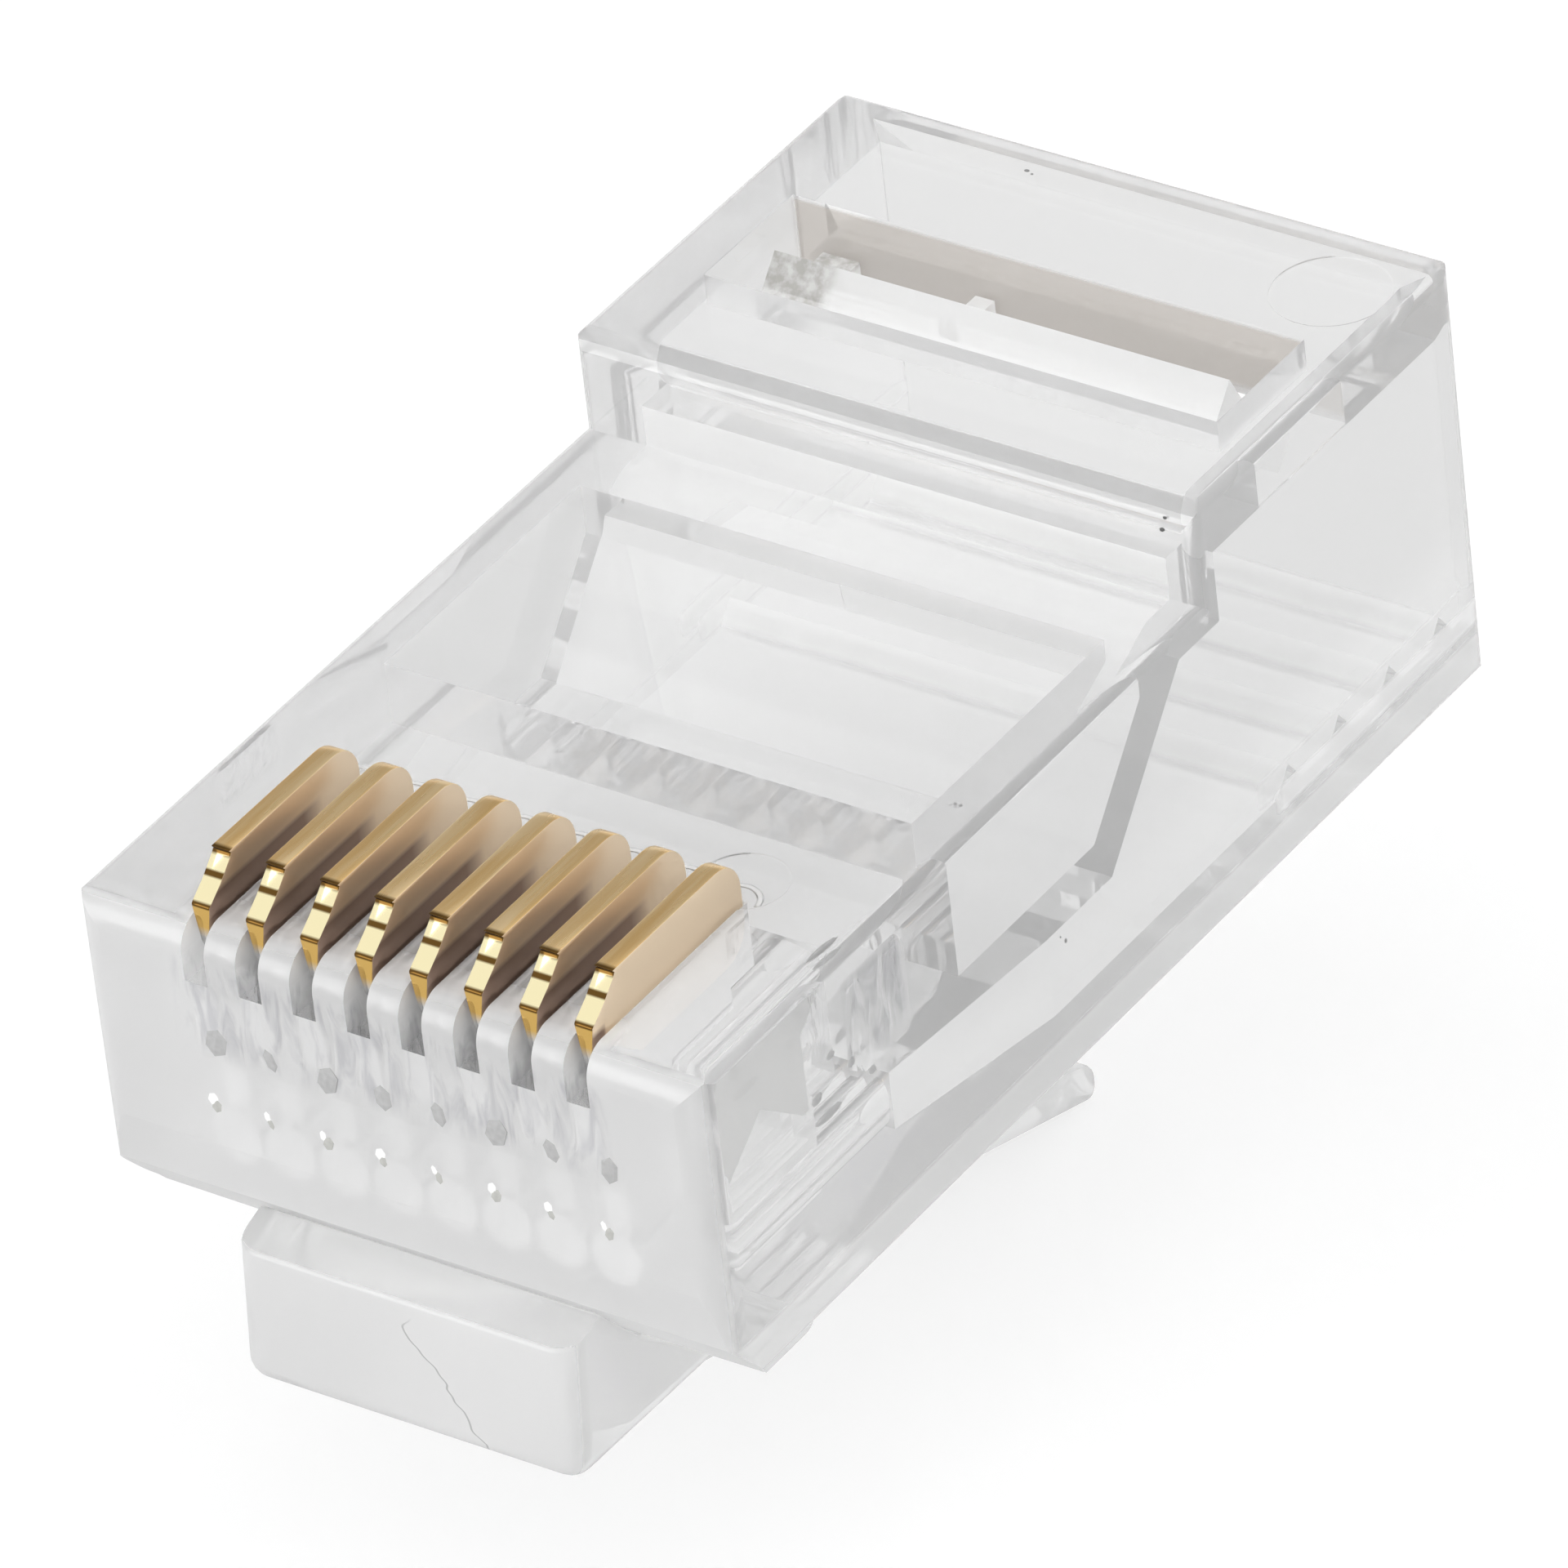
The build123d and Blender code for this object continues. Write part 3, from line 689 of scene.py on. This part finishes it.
def make_contact_metal():
    """Gold on the edges with painted highlight and shade on the front, broad sides paler by a painted
    reflection, painted shade low in the comb, nickel below.
    """
    material = bpy.data.materials.new("gold_over_nickel")
    tree = new_tree(material)
    coordinates = add_node(tree, "ShaderNodeTexCoord").outputs
    place = coordinates["Object"]
    stretched = add_node(tree, "ShaderNodeMapping", {"Vector": place, "Scale": GRAIN})
    grain = add_node(tree, "ShaderNodeTexNoise", {
        "Vector": stretched.outputs[0], "Scale": 1.0, "Detail": 4.0,
    }).outputs["Fac"]
    across, back, height = add_node(tree, "ShaderNodeSeparateXYZ", {0: place}).outputs
    side_way, front_way, _ = add_node(tree, "ShaderNodeSeparateXYZ", {0: coordinates["Normal"]}).outputs

    edge = blend_colours(tree, above(tree, grain, GRAIN_BLEND), GOLD_DEEP, GOLD_PALE)
    # Painted highlight and shade: the front is paler gold above the wedge and darker gold below it.
    front = blend_colours(tree, above(tree, height, WEDGE_TOP), WEDGE_SHADE_GOLD, FRONT_HIGHLIGHT_GOLD)
    # Painted shade: dark brown lines in the front's grooves, and across the top where the bevel ends.
    for centre, half in GROOVE_SHADE_LINES:
        front = blend_colours(tree, stripe(tree, height, centre, half), front, GROOVE_SHADE_BROWN)
    is_front = below(tree, front_way, FRONT_FACING)
    edge = blend_colours(tree, is_front, edge, front)
    cap = product(tree, stripe(tree, back, *CAP_BACK), above(tree, height, CAP_FOOT))
    edge = blend_colours(tree, cap, edge, GROOVE_SHADE_BROWN)

    # Painted shade low in the comb on the broad sides, except the last contact's outer side; above it the
    # sides' paler gold is a painted reflection.
    shade = product(tree, below(tree, height, SHADE_TOP), below(tree, back, SHADE_REAR))
    shade = product(tree, shade, below(tree, across, LAST_SIDE))
    broad = blend_colours(tree, shade, SIDE_REFLECTION_GOLD, SIDE_SHADE)
    is_broad = above(tree, unsigned(tree, side_way), BROAD_FACING)
    plated = blend_colours(tree, is_broad, edge, broad)
    metal = blend_colours(tree, above(tree, height, NICKEL_TOP), NICKEL, plated)

    brushed = ramp(tree, grain, 0.0, 1.0, *EDGE_ROUGHNESS)
    gloss = blend_colours(tree, is_front, brushed, grey(FRONT_ROUGHNESS))
    gloss = blend_colours(tree, is_broad, gloss, grey(BROAD_ROUGHNESS))
    strength, depth = GRAIN_BUMP
    bump = add_node(tree, "ShaderNodeBump", {"Strength": strength, "Distance": depth, "Height": grain})
    skin = add_node(tree, "ShaderNodeBsdfPrincipled", {
        "Base Color": metal, "Metallic": 1.0, "Roughness": gloss, "Normal": bump.outputs[0],
    })
    add_node(tree, "ShaderNodeOutputMaterial", {"Surface": skin.outputs[0]})
    return material


contact_metal = make_contact_metal()

# %% [markdown]
# The blade's outline could be drawn as one flat polygon, but it is easier to see and to change as
# the strokes of a stamping tool: a block for the head, straight cuts for its bevels, one face
# pulled down for the blade and two for the prongs. One is made, and seven copies stand beside it.

# %% Helpers for work in edit mode
TINY = 1e-7
FACING = 0.9  # a face looks a way when its normal has at least this share of it


def start_block(name, low, high):
    """A block between two corners, alone and selected."""
    deselect_all()
    bpy.ops.mesh.primitive_cube_add(size=1.0)
    block = bpy.context.object
    block.name = name
    block.location = (Vector(low) + Vector(high)) / 2
    block.scale = Vector(high) - Vector(low)
    bpy.ops.object.transform_apply(location=True, rotation=True, scale=True)
    return block


def edit(piece):
    """Open one piece in edit mode, with everything in it selected."""
    deselect_all()
    piece.select_set(True)
    bpy.context.view_layer.objects.active = piece
    bpy.ops.object.mode_set(mode="EDIT")
    bpy.ops.mesh.select_mode(type="FACE")
    bpy.ops.mesh.select_all(action="SELECT")


def leave_edit():
    """Back to object mode."""
    bpy.ops.object.mode_set(mode="OBJECT")


def pick_faces(piece, wanted):
    """Select the faces whose centre and normal pass a test, and open them in edit mode."""
    edit(piece)
    bpy.ops.mesh.select_all(action="DESELECT")
    leave_edit()
    for face in piece.data.polygons:
        face.select = wanted(face.center, face.normal)
    bpy.ops.object.mode_set(mode="EDIT")


def pick_edges(piece, wanted):
    """Select the edges whose two ends pass a test together, and open them in edit mode."""
    edit(piece)
    bpy.ops.mesh.select_mode(type="EDGE")
    bpy.ops.mesh.select_all(action="DESELECT")
    leave_edit()
    points = piece.data.vertices
    for line in piece.data.edges:
        line.select = wanted(*(points[v].co for v in line.vertices))
    bpy.ops.object.mode_set(mode="EDIT")


def saw(piece, point, normal, keep_both=False):
    """Cut the piece with a plane. What lies on the normal's side falls away, unless both are kept."""
    edit(piece)
    bpy.ops.mesh.bisect(plane_co=point, plane_no=normal, use_fill=not keep_both,
                        clear_outer=not keep_both, threshold=TINY)
    leave_edit()


def move_points(piece, wanted, target):
    """Move the points that pass a test, each to its target."""
    for point in piece.data.vertices:
        if wanted(point.co):
            point.co = target(point.co)


def apply_modifier(piece, kind, **settings):
    """Add a modifier, set it and apply it."""
    deselect_all()
    piece.select_set(True)
    bpy.context.view_layer.objects.active = piece
    modifier = piece.modifiers.new(kind.lower(), kind)
    for key, value in settings.items():
        setattr(modifier, key, value)
    bpy.ops.object.modifier_apply(modifier=modifier.name)


def smooth(piece, degrees=35):
    """Smooth shading, with edges sharper than an angle left crisp."""
    deselect_all()
    piece.select_set(True)
    bpy.context.view_layer.objects.active = piece
    bpy.ops.object.shade_smooth_by_angle(angle=math.radians(degrees))


def report(piece):
    """Print how many faces a piece has, how many of its edges are open, and its volume."""
    mesh = piece.data
    uses = {}
    for face in mesh.polygons:
        for key in face.edge_keys:
            uses[key] = uses.get(key, 0) + 1
    opened = sum(1 for count in uses.values() if count != 2)
    mesh.calc_loop_triangles()
    points = mesh.vertices
    volume = 0.0
    for triangle in mesh.loop_triangles:
        a, b, c = (points[i].co for i in triangle.vertices)
        volume += a.dot(b.cross(c)) / 6
    volume /= MM ** 3
    print(f"{piece.name}: {len(mesh.polygons)} faces, {opened} open edges, {volume:.2f} cubic mm")


# %% Places on a contact, from the construction
contact_names = sorted(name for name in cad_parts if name.startswith("contact_"))
contact_low, contact_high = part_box(contact_names[0])
FRONT, REAR = contact_low.y, contact_high.y
FOOT, TOP = contact_low.z, contact_high.z
MIDDLE = (contact_low.x + contact_high.x) / 2
HEAD_DEPTH = 2.6 * MM
NECK = TOP - HEAD_DEPTH
BLADE_SET_BACK = 1.0 * MM
BLADE_LENGTH = 2.4 * MM
BLADE_FRONT = FRONT + BLADE_SET_BACK
BLADE_REAR = BLADE_FRONT + BLADE_LENGTH
print("one contact, mm:", [round((b - a) / MM, 2) for a, b in zip(contact_low, contact_high)])

# %% The head's outline
REAR_RADIUS = 0.6 * MM
BEVEL_LENGTH = 0.66 * MM
UPRIGHT_END = 1.3 * MM
LOBE_DEPTH = 1.8 * MM
LOBE_SET_BACK = 0.16 * MM


def cut_head(piece):
    """Saw the heel, round the rear crest, and saw the bevel and the lobe's underside in front."""
    saw(piece, (MIDDLE, BLADE_REAR, NECK), (0, REAR_RADIUS, -(REAR - BLADE_REAR)))
    pick_edges(piece, lambda a, b: min(a.y, b.y) > REAR - TINY and min(a.z, b.z) > TOP - TINY)
    bpy.ops.mesh.bevel(offset=REAR_RADIUS, segments=8, profile=0.5, affect="EDGES")
    leave_edit()
    saw(piece, (MIDDLE, FRONT, TOP - BEVEL_LENGTH), (0, -1, 1))
    saw(piece, (MIDDLE, FRONT, TOP - UPRIGHT_END), (0, -(LOBE_DEPTH - UPRIGHT_END), -LOBE_SET_BACK))
    lobe_run = BLADE_FRONT - FRONT - LOBE_SET_BACK
    lobe_rise = HEAD_DEPTH - LOBE_DEPTH
    saw(piece, (MIDDLE, FRONT + LOBE_SET_BACK, TOP - LOBE_DEPTH), (0, -lobe_rise, -lobe_run))


# %% Grooves across the bevel
GROOVE_DEPTH = 0.07 * MM
GROOVE_HALF = 0.035 * MM
GROOVE_PLACES = (0.0, 0.42 * MM)  # up the bevel from its middle


def press_grooves(piece):
    """Part a narrow strip of the bevel at each place, and push it in."""
    middle = Vector((MIDDLE, FRONT + BEVEL_LENGTH / 2, TOP - BEVEL_LENGTH / 2))
    along = Vector((0, 1, 1)).normalized()
    inward = Vector((0, 1, -1)).normalized()
    for rise in GROOVE_PLACES:
        centre = middle + along * rise
        for side in (-1, 1):
            saw(piece, centre + along * GROOVE_HALF * side, along, keep_both=True)
        pick_faces(piece, lambda c, n: n.dot(inward) < -FACING and (c - centre).length < GROOVE_HALF)
        bpy.ops.transform.translate(value=inward * GROOVE_DEPTH)
        leave_edit()


# %% The point at the front's lower end
WEDGE_DEPTH = 0.35 * MM
WEDGE_WIDTHS = (0.45, 0.12)  # of the blade's thickness, at the upright's end and at the lobe's point


def coin_point(piece):
    """Part the front of the head, and narrow it step by step towards its lower end."""
    saw(piece, (MIDDLE, FRONT, TOP - BEVEL_LENGTH), (0, 0, 1), keep_both=True)
    saw(piece, (MIDDLE, FRONT + WEDGE_DEPTH, TOP), (0, 1, 0), keep_both=True)
    for depth, share in zip((UPRIGHT_END, LOBE_DEPTH), WEDGE_WIDTHS):
        move_points(piece, lambda p: abs(p.z - TOP + depth) < TINY and p.y < FRONT + WEDGE_DEPTH - TINY,
                    lambda p: Vector((MIDDLE + (p.x - MIDDLE) * share, p.y, p.z)))


# %% Blade and prongs
PRONG_ROOT = 3.2 * MM
PRONG_TIP = 0.16 * MM


def pull_blade(piece):
    """Pull the blade down from the head, and then the two prongs, each to a narrow tip."""
    fork = (BLADE_FRONT + BLADE_REAR) / 2
    root = TOP - PRONG_ROOT
    narrow = (1, 2 * PRONG_TIP / BLADE_LENGTH, 1)
    saw(piece, (MIDDLE, fork, NECK), (0, 1, 0), keep_both=True)
    pick_faces(piece, lambda c, n: n.z < -FACING and c.z < NECK + TINY)
    bpy.ops.mesh.extrude_region_move(TRANSFORM_OT_translate={"value": (0, 0, root - NECK)})
    leave_edit()
    for outer, side in ((BLADE_FRONT, -1), (BLADE_REAR, 1)):
        pick_faces(piece, lambda c, n: n.z < -FACING and c.z < root + TINY and (c.y - fork) * side > 0)
        bpy.ops.mesh.extrude_region_move(TRANSFORM_OT_translate={"value": (0, 0, FOOT - root)})
        bpy.ops.transform.resize(value=narrow, center_override=(MIDDLE, outer, FOOT))
        leave_edit()


# %% One contact
COINED_EDGE = 0.022 * MM
COINED_ANGLE = math.radians(25)  # edges sharper than this are coined


def make_contact(name):
    """Stamped blade: grooved bevel, pointed front, rounded heel and two prongs."""
    piece = start_block(name, (contact_low.x, FRONT, NECK), (contact_high.x, REAR, TOP))
    cut_head(piece)
    press_grooves(piece)
    coin_point(piece)
    pull_blade(piece)
    apply_modifier(piece, "BEVEL", width=COINED_EDGE, segments=2, limit_method="ANGLE",
                   angle_limit=COINED_ANGLE, harden_normals=False)
    smooth(piece)
    return piece


# %% The row of contacts
def finish_piece(piece, material, body, slot, *nodes):
    """Give a piece its finish, its body and the construction nodes that it stands for."""
    piece.data.materials.clear()
    piece.data.materials.append(material)
    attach(piece, body)
    if nodes:
        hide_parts(*nodes)


def place_contacts():
    """The first contact and a copy of it in each other slot."""
    first = make_contact("plated_contact_1")
    pieces = [first]
    for name in contact_names[1:]:
        deselect_all()
        first.select_set(True)
        bpy.context.view_layer.objects.active = first
        bpy.ops.object.duplicate()
        copy = bpy.context.object
        copy.name = "plated_" + name
        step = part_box(name)[0].x - contact_low.x
        copy.data.transform(Matrix.Translation((step, 0, 0)))
        pieces.append(copy)
    for name, piece in zip(contact_names, pieces):
        finish_piece(piece, contact_metal, "contacts", "gold_plate", name)
    return pieces


contacts = place_contacts()
print("contacts:", len(contacts))
report(contacts[0])

# %% [markdown]
# ## Latch
#
# The latch is a springy tongue: a root block under the nose, a wide part that tapers to the two
# shoulders that lock in the jack, and a narrow finger to press. Its lower edges are well rounded. It
# is drawn from the root backwards, by pulling faces out, and then its edges are rolled.

# %% Places on the latch, from the construction
latch_low, latch_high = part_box("latch")
SEAT = -0.40 * MM
ROOT_DEPTH = -2.1 * MM
KNEE = (2.9 * MM, -2.2 * MM)
HINGE_BACK = 1.8 * MM
TIP_THICKNESS = 0.68 * MM
print("latch, mm:", [round((b - a) / MM, 2) for a, b in zip(latch_low, latch_high)])


def under_arm(back):
    """Height of the latch's lower face."""
    start, end = (latch_low.y, ROOT_DEPTH), KNEE
    if back > KNEE[0]:
        start, end = KNEE, (latch_high.y, latch_low.z)
    return start[1] + (end[1] - start[1]) * (back - start[0]) / (end[0] - start[0])


def over_arm(back):
    """Height of the arm's upper face, behind the hinge."""
    share = (back - HINGE_BACK) / (latch_high.y - HINGE_BACK)
    return SEAT + share * (latch_low.z + TIP_THICKNESS - SEAT)


# %% The root block
ROOT_TOP_FRONT = (-0.50 * MM, 0.35 * MM)
ROOT_TOP_REAR = (0.334 * MM, 0.60 * MM)
ROOT_SEAT_FRONT = 1.228 * MM


def raise_root(piece):
    """Let the root stand up in front of the lead-in, and lean."""
    move_points(piece, lambda p: p.y < 0 and p.z < SEAT - TINY, lambda p: Vector((p.x, p.y, ROOT_DEPTH)))
    saw(piece, (0, ROOT_SEAT_FRONT, SEAT), (0, 1, 0), keep_both=True)
    pick_faces(piece, lambda c, n: n.z > FACING and c.y < ROOT_SEAT_FRONT)
    bpy.ops.mesh.extrude_region_move(TRANSFORM_OT_translate={"value": (0, 0, ROOT_TOP_REAR[1] - SEAT)})
    leave_edit()
    move_points(piece, lambda p: p.z > 0 and p.y > 0, lambda p: Vector((p.x, *ROOT_TOP_REAR)))
    move_points(piece, lambda p: p.z > 0 and p.y < 0, lambda p: Vector((p.x, *ROOT_TOP_FRONT)))
    share = (SEAT - ROOT_DEPTH) / (ROOT_TOP_FRONT[1] - ROOT_DEPTH)
    lean = latch_low.y + share * (ROOT_TOP_FRONT[0] - latch_low.y)
    move_points(piece, lambda p: p.y < 0 and abs(p.z - SEAT) < TINY, lambda p: Vector((p.x, lean, p.z)))


# %% Knee, taper, shoulders and finger
TAPER_BACK = 6.0 * MM
SHOULDER_BACK = 8.5 * MM
SHOULDER_REAR_HALF = 2.6 * MM
FINGER_HALF = 1.6 * MM
FLAT_ANGLE = math.radians(0.5)


def pull_back(piece, start, back):
    """Pull the rear face back, and set its two heights on the arm's upper and lower faces."""
    pick_faces(piece, lambda c, n: n.y > FACING and c.y > start - TINY and abs(c.x) < FINGER_HALF)
    bpy.ops.mesh.extrude_region_move(TRANSFORM_OT_translate={"value": (0, back - start, 0)})
    leave_edit()
    middle = (over_arm(start) + under_arm(start)) / 2
    move_points(piece, lambda p: p.y > back - TINY,
                lambda p: Vector((p.x, p.y, over_arm(back) if p.z > middle else under_arm(back))))


def pull_arm(piece):
    """Pull out the wide part, narrow it at the shoulders, and pull the finger out of its middle."""
    pull_back(piece, HINGE_BACK, KNEE[0])
    pull_back(piece, KNEE[0], TAPER_BACK)
    pull_back(piece, TAPER_BACK, SHOULDER_BACK)
    move_points(piece, lambda p: p.y > SHOULDER_BACK - TINY,
                lambda p: Vector((math.copysign(SHOULDER_REAR_HALF, p.x), p.y, p.z)))
    for side in (-1, 1):
        saw(piece, (FINGER_HALF * side, 0, 0), (1, 0, 0), keep_both=True)
    pull_back(piece, SHOULDER_BACK, latch_high.y)
    edit(piece)
    bpy.ops.mesh.dissolve_limited(angle_limit=FLAT_ANGLE)
    leave_edit()


# %% Rolled edges
LATCH_ROUND = 0.42 * MM
TIP_ROUND = 0.28 * MM
LATCH_EDGE = 0.07 * MM
LATCH_ANGLE = math.radians(35)  # edges sharper than this lose their corner


def is_rolled(a, b):
    """Whether an edge between two points is one of the latch's well rounded ones."""
    low = all(p.z < under_arm(p.y) + TINY and abs(p.x) > SHOULDER_REAR_HALF - TINY for p in (a, b))
    one_side = a.x * b.x > 0
    front_low = low and max(a.y, b.y) < latch_low.y + TINY
    upright = one_side and max(a.y, b.y) < 0
    return front_low or upright or (low and one_side)


def roll_edges(piece):
    """Round the finger's tip, then the lower and upright edges, and then all that are left a little."""
    pick_edges(piece, lambda a, b: min(a.y, b.y) > latch_high.y - TINY and abs(a.x - b.x) > FINGER_HALF)
    bpy.ops.mesh.bevel(offset=TIP_ROUND, segments=5, profile=0.5, affect="EDGES")
    leave_edit()
    pick_edges(piece, is_rolled)
    bpy.ops.mesh.bevel(offset=LATCH_ROUND, segments=6, profile=0.5, affect="EDGES")
    leave_edit()
    apply_modifier(piece, "BEVEL", width=LATCH_EDGE, segments=2, limit_method="ANGLE",
                   angle_limit=LATCH_ANGLE, harden_normals=False)


# %% Latch
def make_latch():
    """Root block, wide part and finger, with rolled edges."""
    half = latch_high.x
    low, high = (-half, latch_low.y, under_arm(HINGE_BACK)), (half, HINGE_BACK, SEAT)
    piece = start_block("moulded_latch", low, high)
    raise_root(piece)
    pull_arm(piece)
    roll_edges(piece)
    smooth(piece)
    return piece


latch = make_latch()
finish_piece(latch, latch_plastic, "latch", "clear_plastic", "latch")
report(latch)

# %% [markdown]
# ## Small marks
#
# Small grey marks show in the photo: a row of dots and a row of crumbs on the nose's front, one of each for
# a wire, short strokes on its right side, and a few dark specks. What they are can't be told from there.
# They might lie in the skin, or be channel ends and prongs seen through it. The grey of the dots and of the
# crumbs is painted shade, and white grains beside the crumbs are painted highlights. Here they are small
# flat grains, sunk halfway into the skin, because a flat dot would vanish from the side.

# %% Dull finishes of the marks, with painted shade and painted highlight among them
DULL_ROUGHNESS = 0.6
DRIFT_GRAIN = 9000.0
DRIFT_LIGHTER = 1.4


def make_dull(name, colour):
    """Dull skin whose shade drifts a little."""
    material = bpy.data.materials.new(name)
    tree = new_tree(material)
    place = add_node(tree, "ShaderNodeTexCoord").outputs["Object"]
    drift = add_node(tree, "ShaderNodeTexNoise", {"Vector": place, "Scale": DRIFT_GRAIN, "Detail": 1.0})
    light = tuple(min(1.0, DRIFT_LIGHTER * c) for c in colour[:3]) + (1.0,)
    shade = blend_colours(tree, drift.outputs["Fac"], colour, light)
    skin = add_node(tree, "ShaderNodeBsdfPrincipled", {"Base Color": shade, "Roughness": DULL_ROUGHNESS})
    add_node(tree, "ShaderNodeOutputMaterial", {"Surface": skin.outputs[0]})
    return material


# The dots' grey and the crumbs' grey are painted shade, and the glints' white is a painted highlight; the
# strokes share the dots' grey.
mark_and_shade_skin = make_dull("mark_and_shade_grey", grey(0.38))
crumb_shade_skin = make_dull("crumb_shade_grey", (0.42, 0.42, 0.40, 1.0))
speck_skin = make_dull("speck_black", grey(0.10))
glint_skin = make_dull("glint_white", (0.98, 0.98, 0.97, 1.0))


# %% Grains, and joining them
def make_grain(name, place, radius, squash, turn, corners=8):
    """One small grain with a few corners, stretched and turned."""
    deselect_all()
    bpy.ops.mesh.primitive_uv_sphere_add(segments=corners, ring_count=corners // 2, radius=radius)
    grain = bpy.context.object
    grain.name = name
    grain.scale = squash
    grain.rotation_euler = turn
    grain.location = place
    bpy.ops.object.transform_apply(location=True, rotation=True, scale=True)
    return grain


def join(name, pieces):
    """Join some pieces into the first one."""
    deselect_all()
    for piece in pieces:
        piece.select_set(True)
    bpy.context.view_layer.objects.active = pieces[0]
    bpy.ops.object.join()
    joined = bpy.context.object
    joined.name = name
    return joined


# %% Rows of marks on the nose's front
DIMPLE_ROWS = (  # name, then height, radius and shift to the right in mm, and finish
    ("upper_shade_dots", 3.83, 0.25, 0.32, mark_and_shade_skin),
    ("lower_shade_crumbs", 2.58, 0.12, 0.16, crumb_shade_skin),
    ("crumb_glints", 2.70, 0.11, 0.10, glint_skin),
)
DIMPLE_FRONT = 0.0
DIMPLE_SPREAD = 1.03  # the marks lie a little further apart than the contacts
DIMPLE_SHIFT = 0.02 * MM
DRIFT_STEP = 2.4
DRIFT_START = 40
LIFT_STEP = 5
SIZE_DRIFT = 0.15
TURN_DRIFT = 0.35
DIMPLE_WIDTH = (0.72, 0.1)  # and how much it drifts
DIMPLE_FLAT = 0.12


def make_dimples(name, height, radius, shift):
    """One row of marks with four to six corners, a little uneven in place, size and turn."""
    grains = []
    for i, contact in enumerate(contact_names):
        low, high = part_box(contact)
        drift = math.sin(DRIFT_STEP * i + DRIFT_START * height / MM)
        x = (low.x + high.x) / 2 * DIMPLE_SPREAD + shift + DIMPLE_SHIFT * drift
        place = (x, DIMPLE_FRONT, height + DIMPLE_SHIFT * math.cos(LIFT_STEP * i))
        squash = (DIMPLE_WIDTH[0] + DIMPLE_WIDTH[1] * drift, DIMPLE_FLAT, 1.0)
        size = radius * (1 + SIZE_DRIFT * drift)
        turn = (0.0, TURN_DRIFT * drift, 0.0)
        grains.append(make_grain(f"grain_{i}", place, size, squash, turn, corners=4 + i % 3))
    return join(name, grains)


for name, height, radius, shift, skin in DIMPLE_ROWS:
    finish_piece(make_dimples(name, height * MM, radius * MM, shift * MM), skin, "housing", "clear_plastic")
print("marks on the front:", len(DIMPLE_ROWS) * len(contact_names))

# %% Strokes on the right side of the nose
STROKES = (  # both ends and half the width, mm
    ((5.48, 3.48, 5.86), (5.55, 4.30, 5.86), 0.11),
    ((5.66, 3.38, 5.86), (5.71, 4.10, 5.85), 0.07),
    ((5.80, 3.38, 4.26), (5.80, 3.40, 4.42), 0.11),
    ((5.80, 3.86, 3.80), (5.80, 3.91, 3.96), 0.11),
    ((5.80, 4.37, 3.33), (5.80, 4.42, 3.48), 0.11),
    ((5.80, 2.78, 3.80), (5.80, 3.08, 3.82), 0.11),
    ((5.80, 2.80, 3.38), (5.80, 3.54, 3.36), 0.10),
)
STROKE_FLAT = 0.36


def make_strokes():
    """Thin strokes beside the last slot, lying in the skin of the body's right side and top."""
    pieces = []
    for i, (start, end, half) in enumerate(STROKES):
        run = Vector(end) - Vector(start)
        place = (Vector(start) + Vector(end)) / 2 * MM
        squash = (STROKE_FLAT, run.length / 2 / half, 1.0)
        turn = run.to_track_quat("Y", "Z").to_euler()
        pieces.append(make_grain(f"stroke_{i}", place, half * MM, squash, turn))
    return join("skin_folds", pieces)


finish_piece(make_strokes(), mark_and_shade_skin, "housing", "clear_plastic")
print("strokes:", len(STROKES))

# %% Dark specks
SPECKS = (  # place and radius, mm
    ((-1.81, 21.17, 7.66), 0.05), ((-1.68, 21.12, 7.66), 0.03),
    ((5.79, 9.68, 2.40), 0.045), ((5.79, 9.55, 2.55), 0.025),
    ((5.25, 14.10, 7.21), 0.05), ((5.32, 14.10, 7.45), 0.035),
)
SPECK_SQUASH = (1.0, 0.8, 0.7)
SPECK_TURN = (0.3, 0.7)  # from one speck to the next


def make_specks():
    """Dark specks in the roof, the right side and the riser, each turned another way."""
    grains = []
    for i, (place, radius) in enumerate(SPECKS):
        turn = (SPECK_TURN[0] * i, SPECK_TURN[1] * i, 0)
        grains.append(make_grain(f"speck_{i}", Vector(place) * MM, radius * MM, SPECK_SQUASH, turn))
    return join("specks", grains)


finish_piece(make_specks(), speck_skin, "housing", "clear_plastic")
print("specks:", len(SPECKS))

# %% [markdown]
# ## Dress the moulding
#
# The housing and the jacket clamp keep their construction shapes, which are right as they are. They
# only change their plain finish for the clear plastic.

# %% Dress the moulding
for name, plastic in (("housing", clear_plastic), ("jacket_clamp", bent_plastic)):
    for material_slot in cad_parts[name].material_slots:
        material_slot.material = plastic
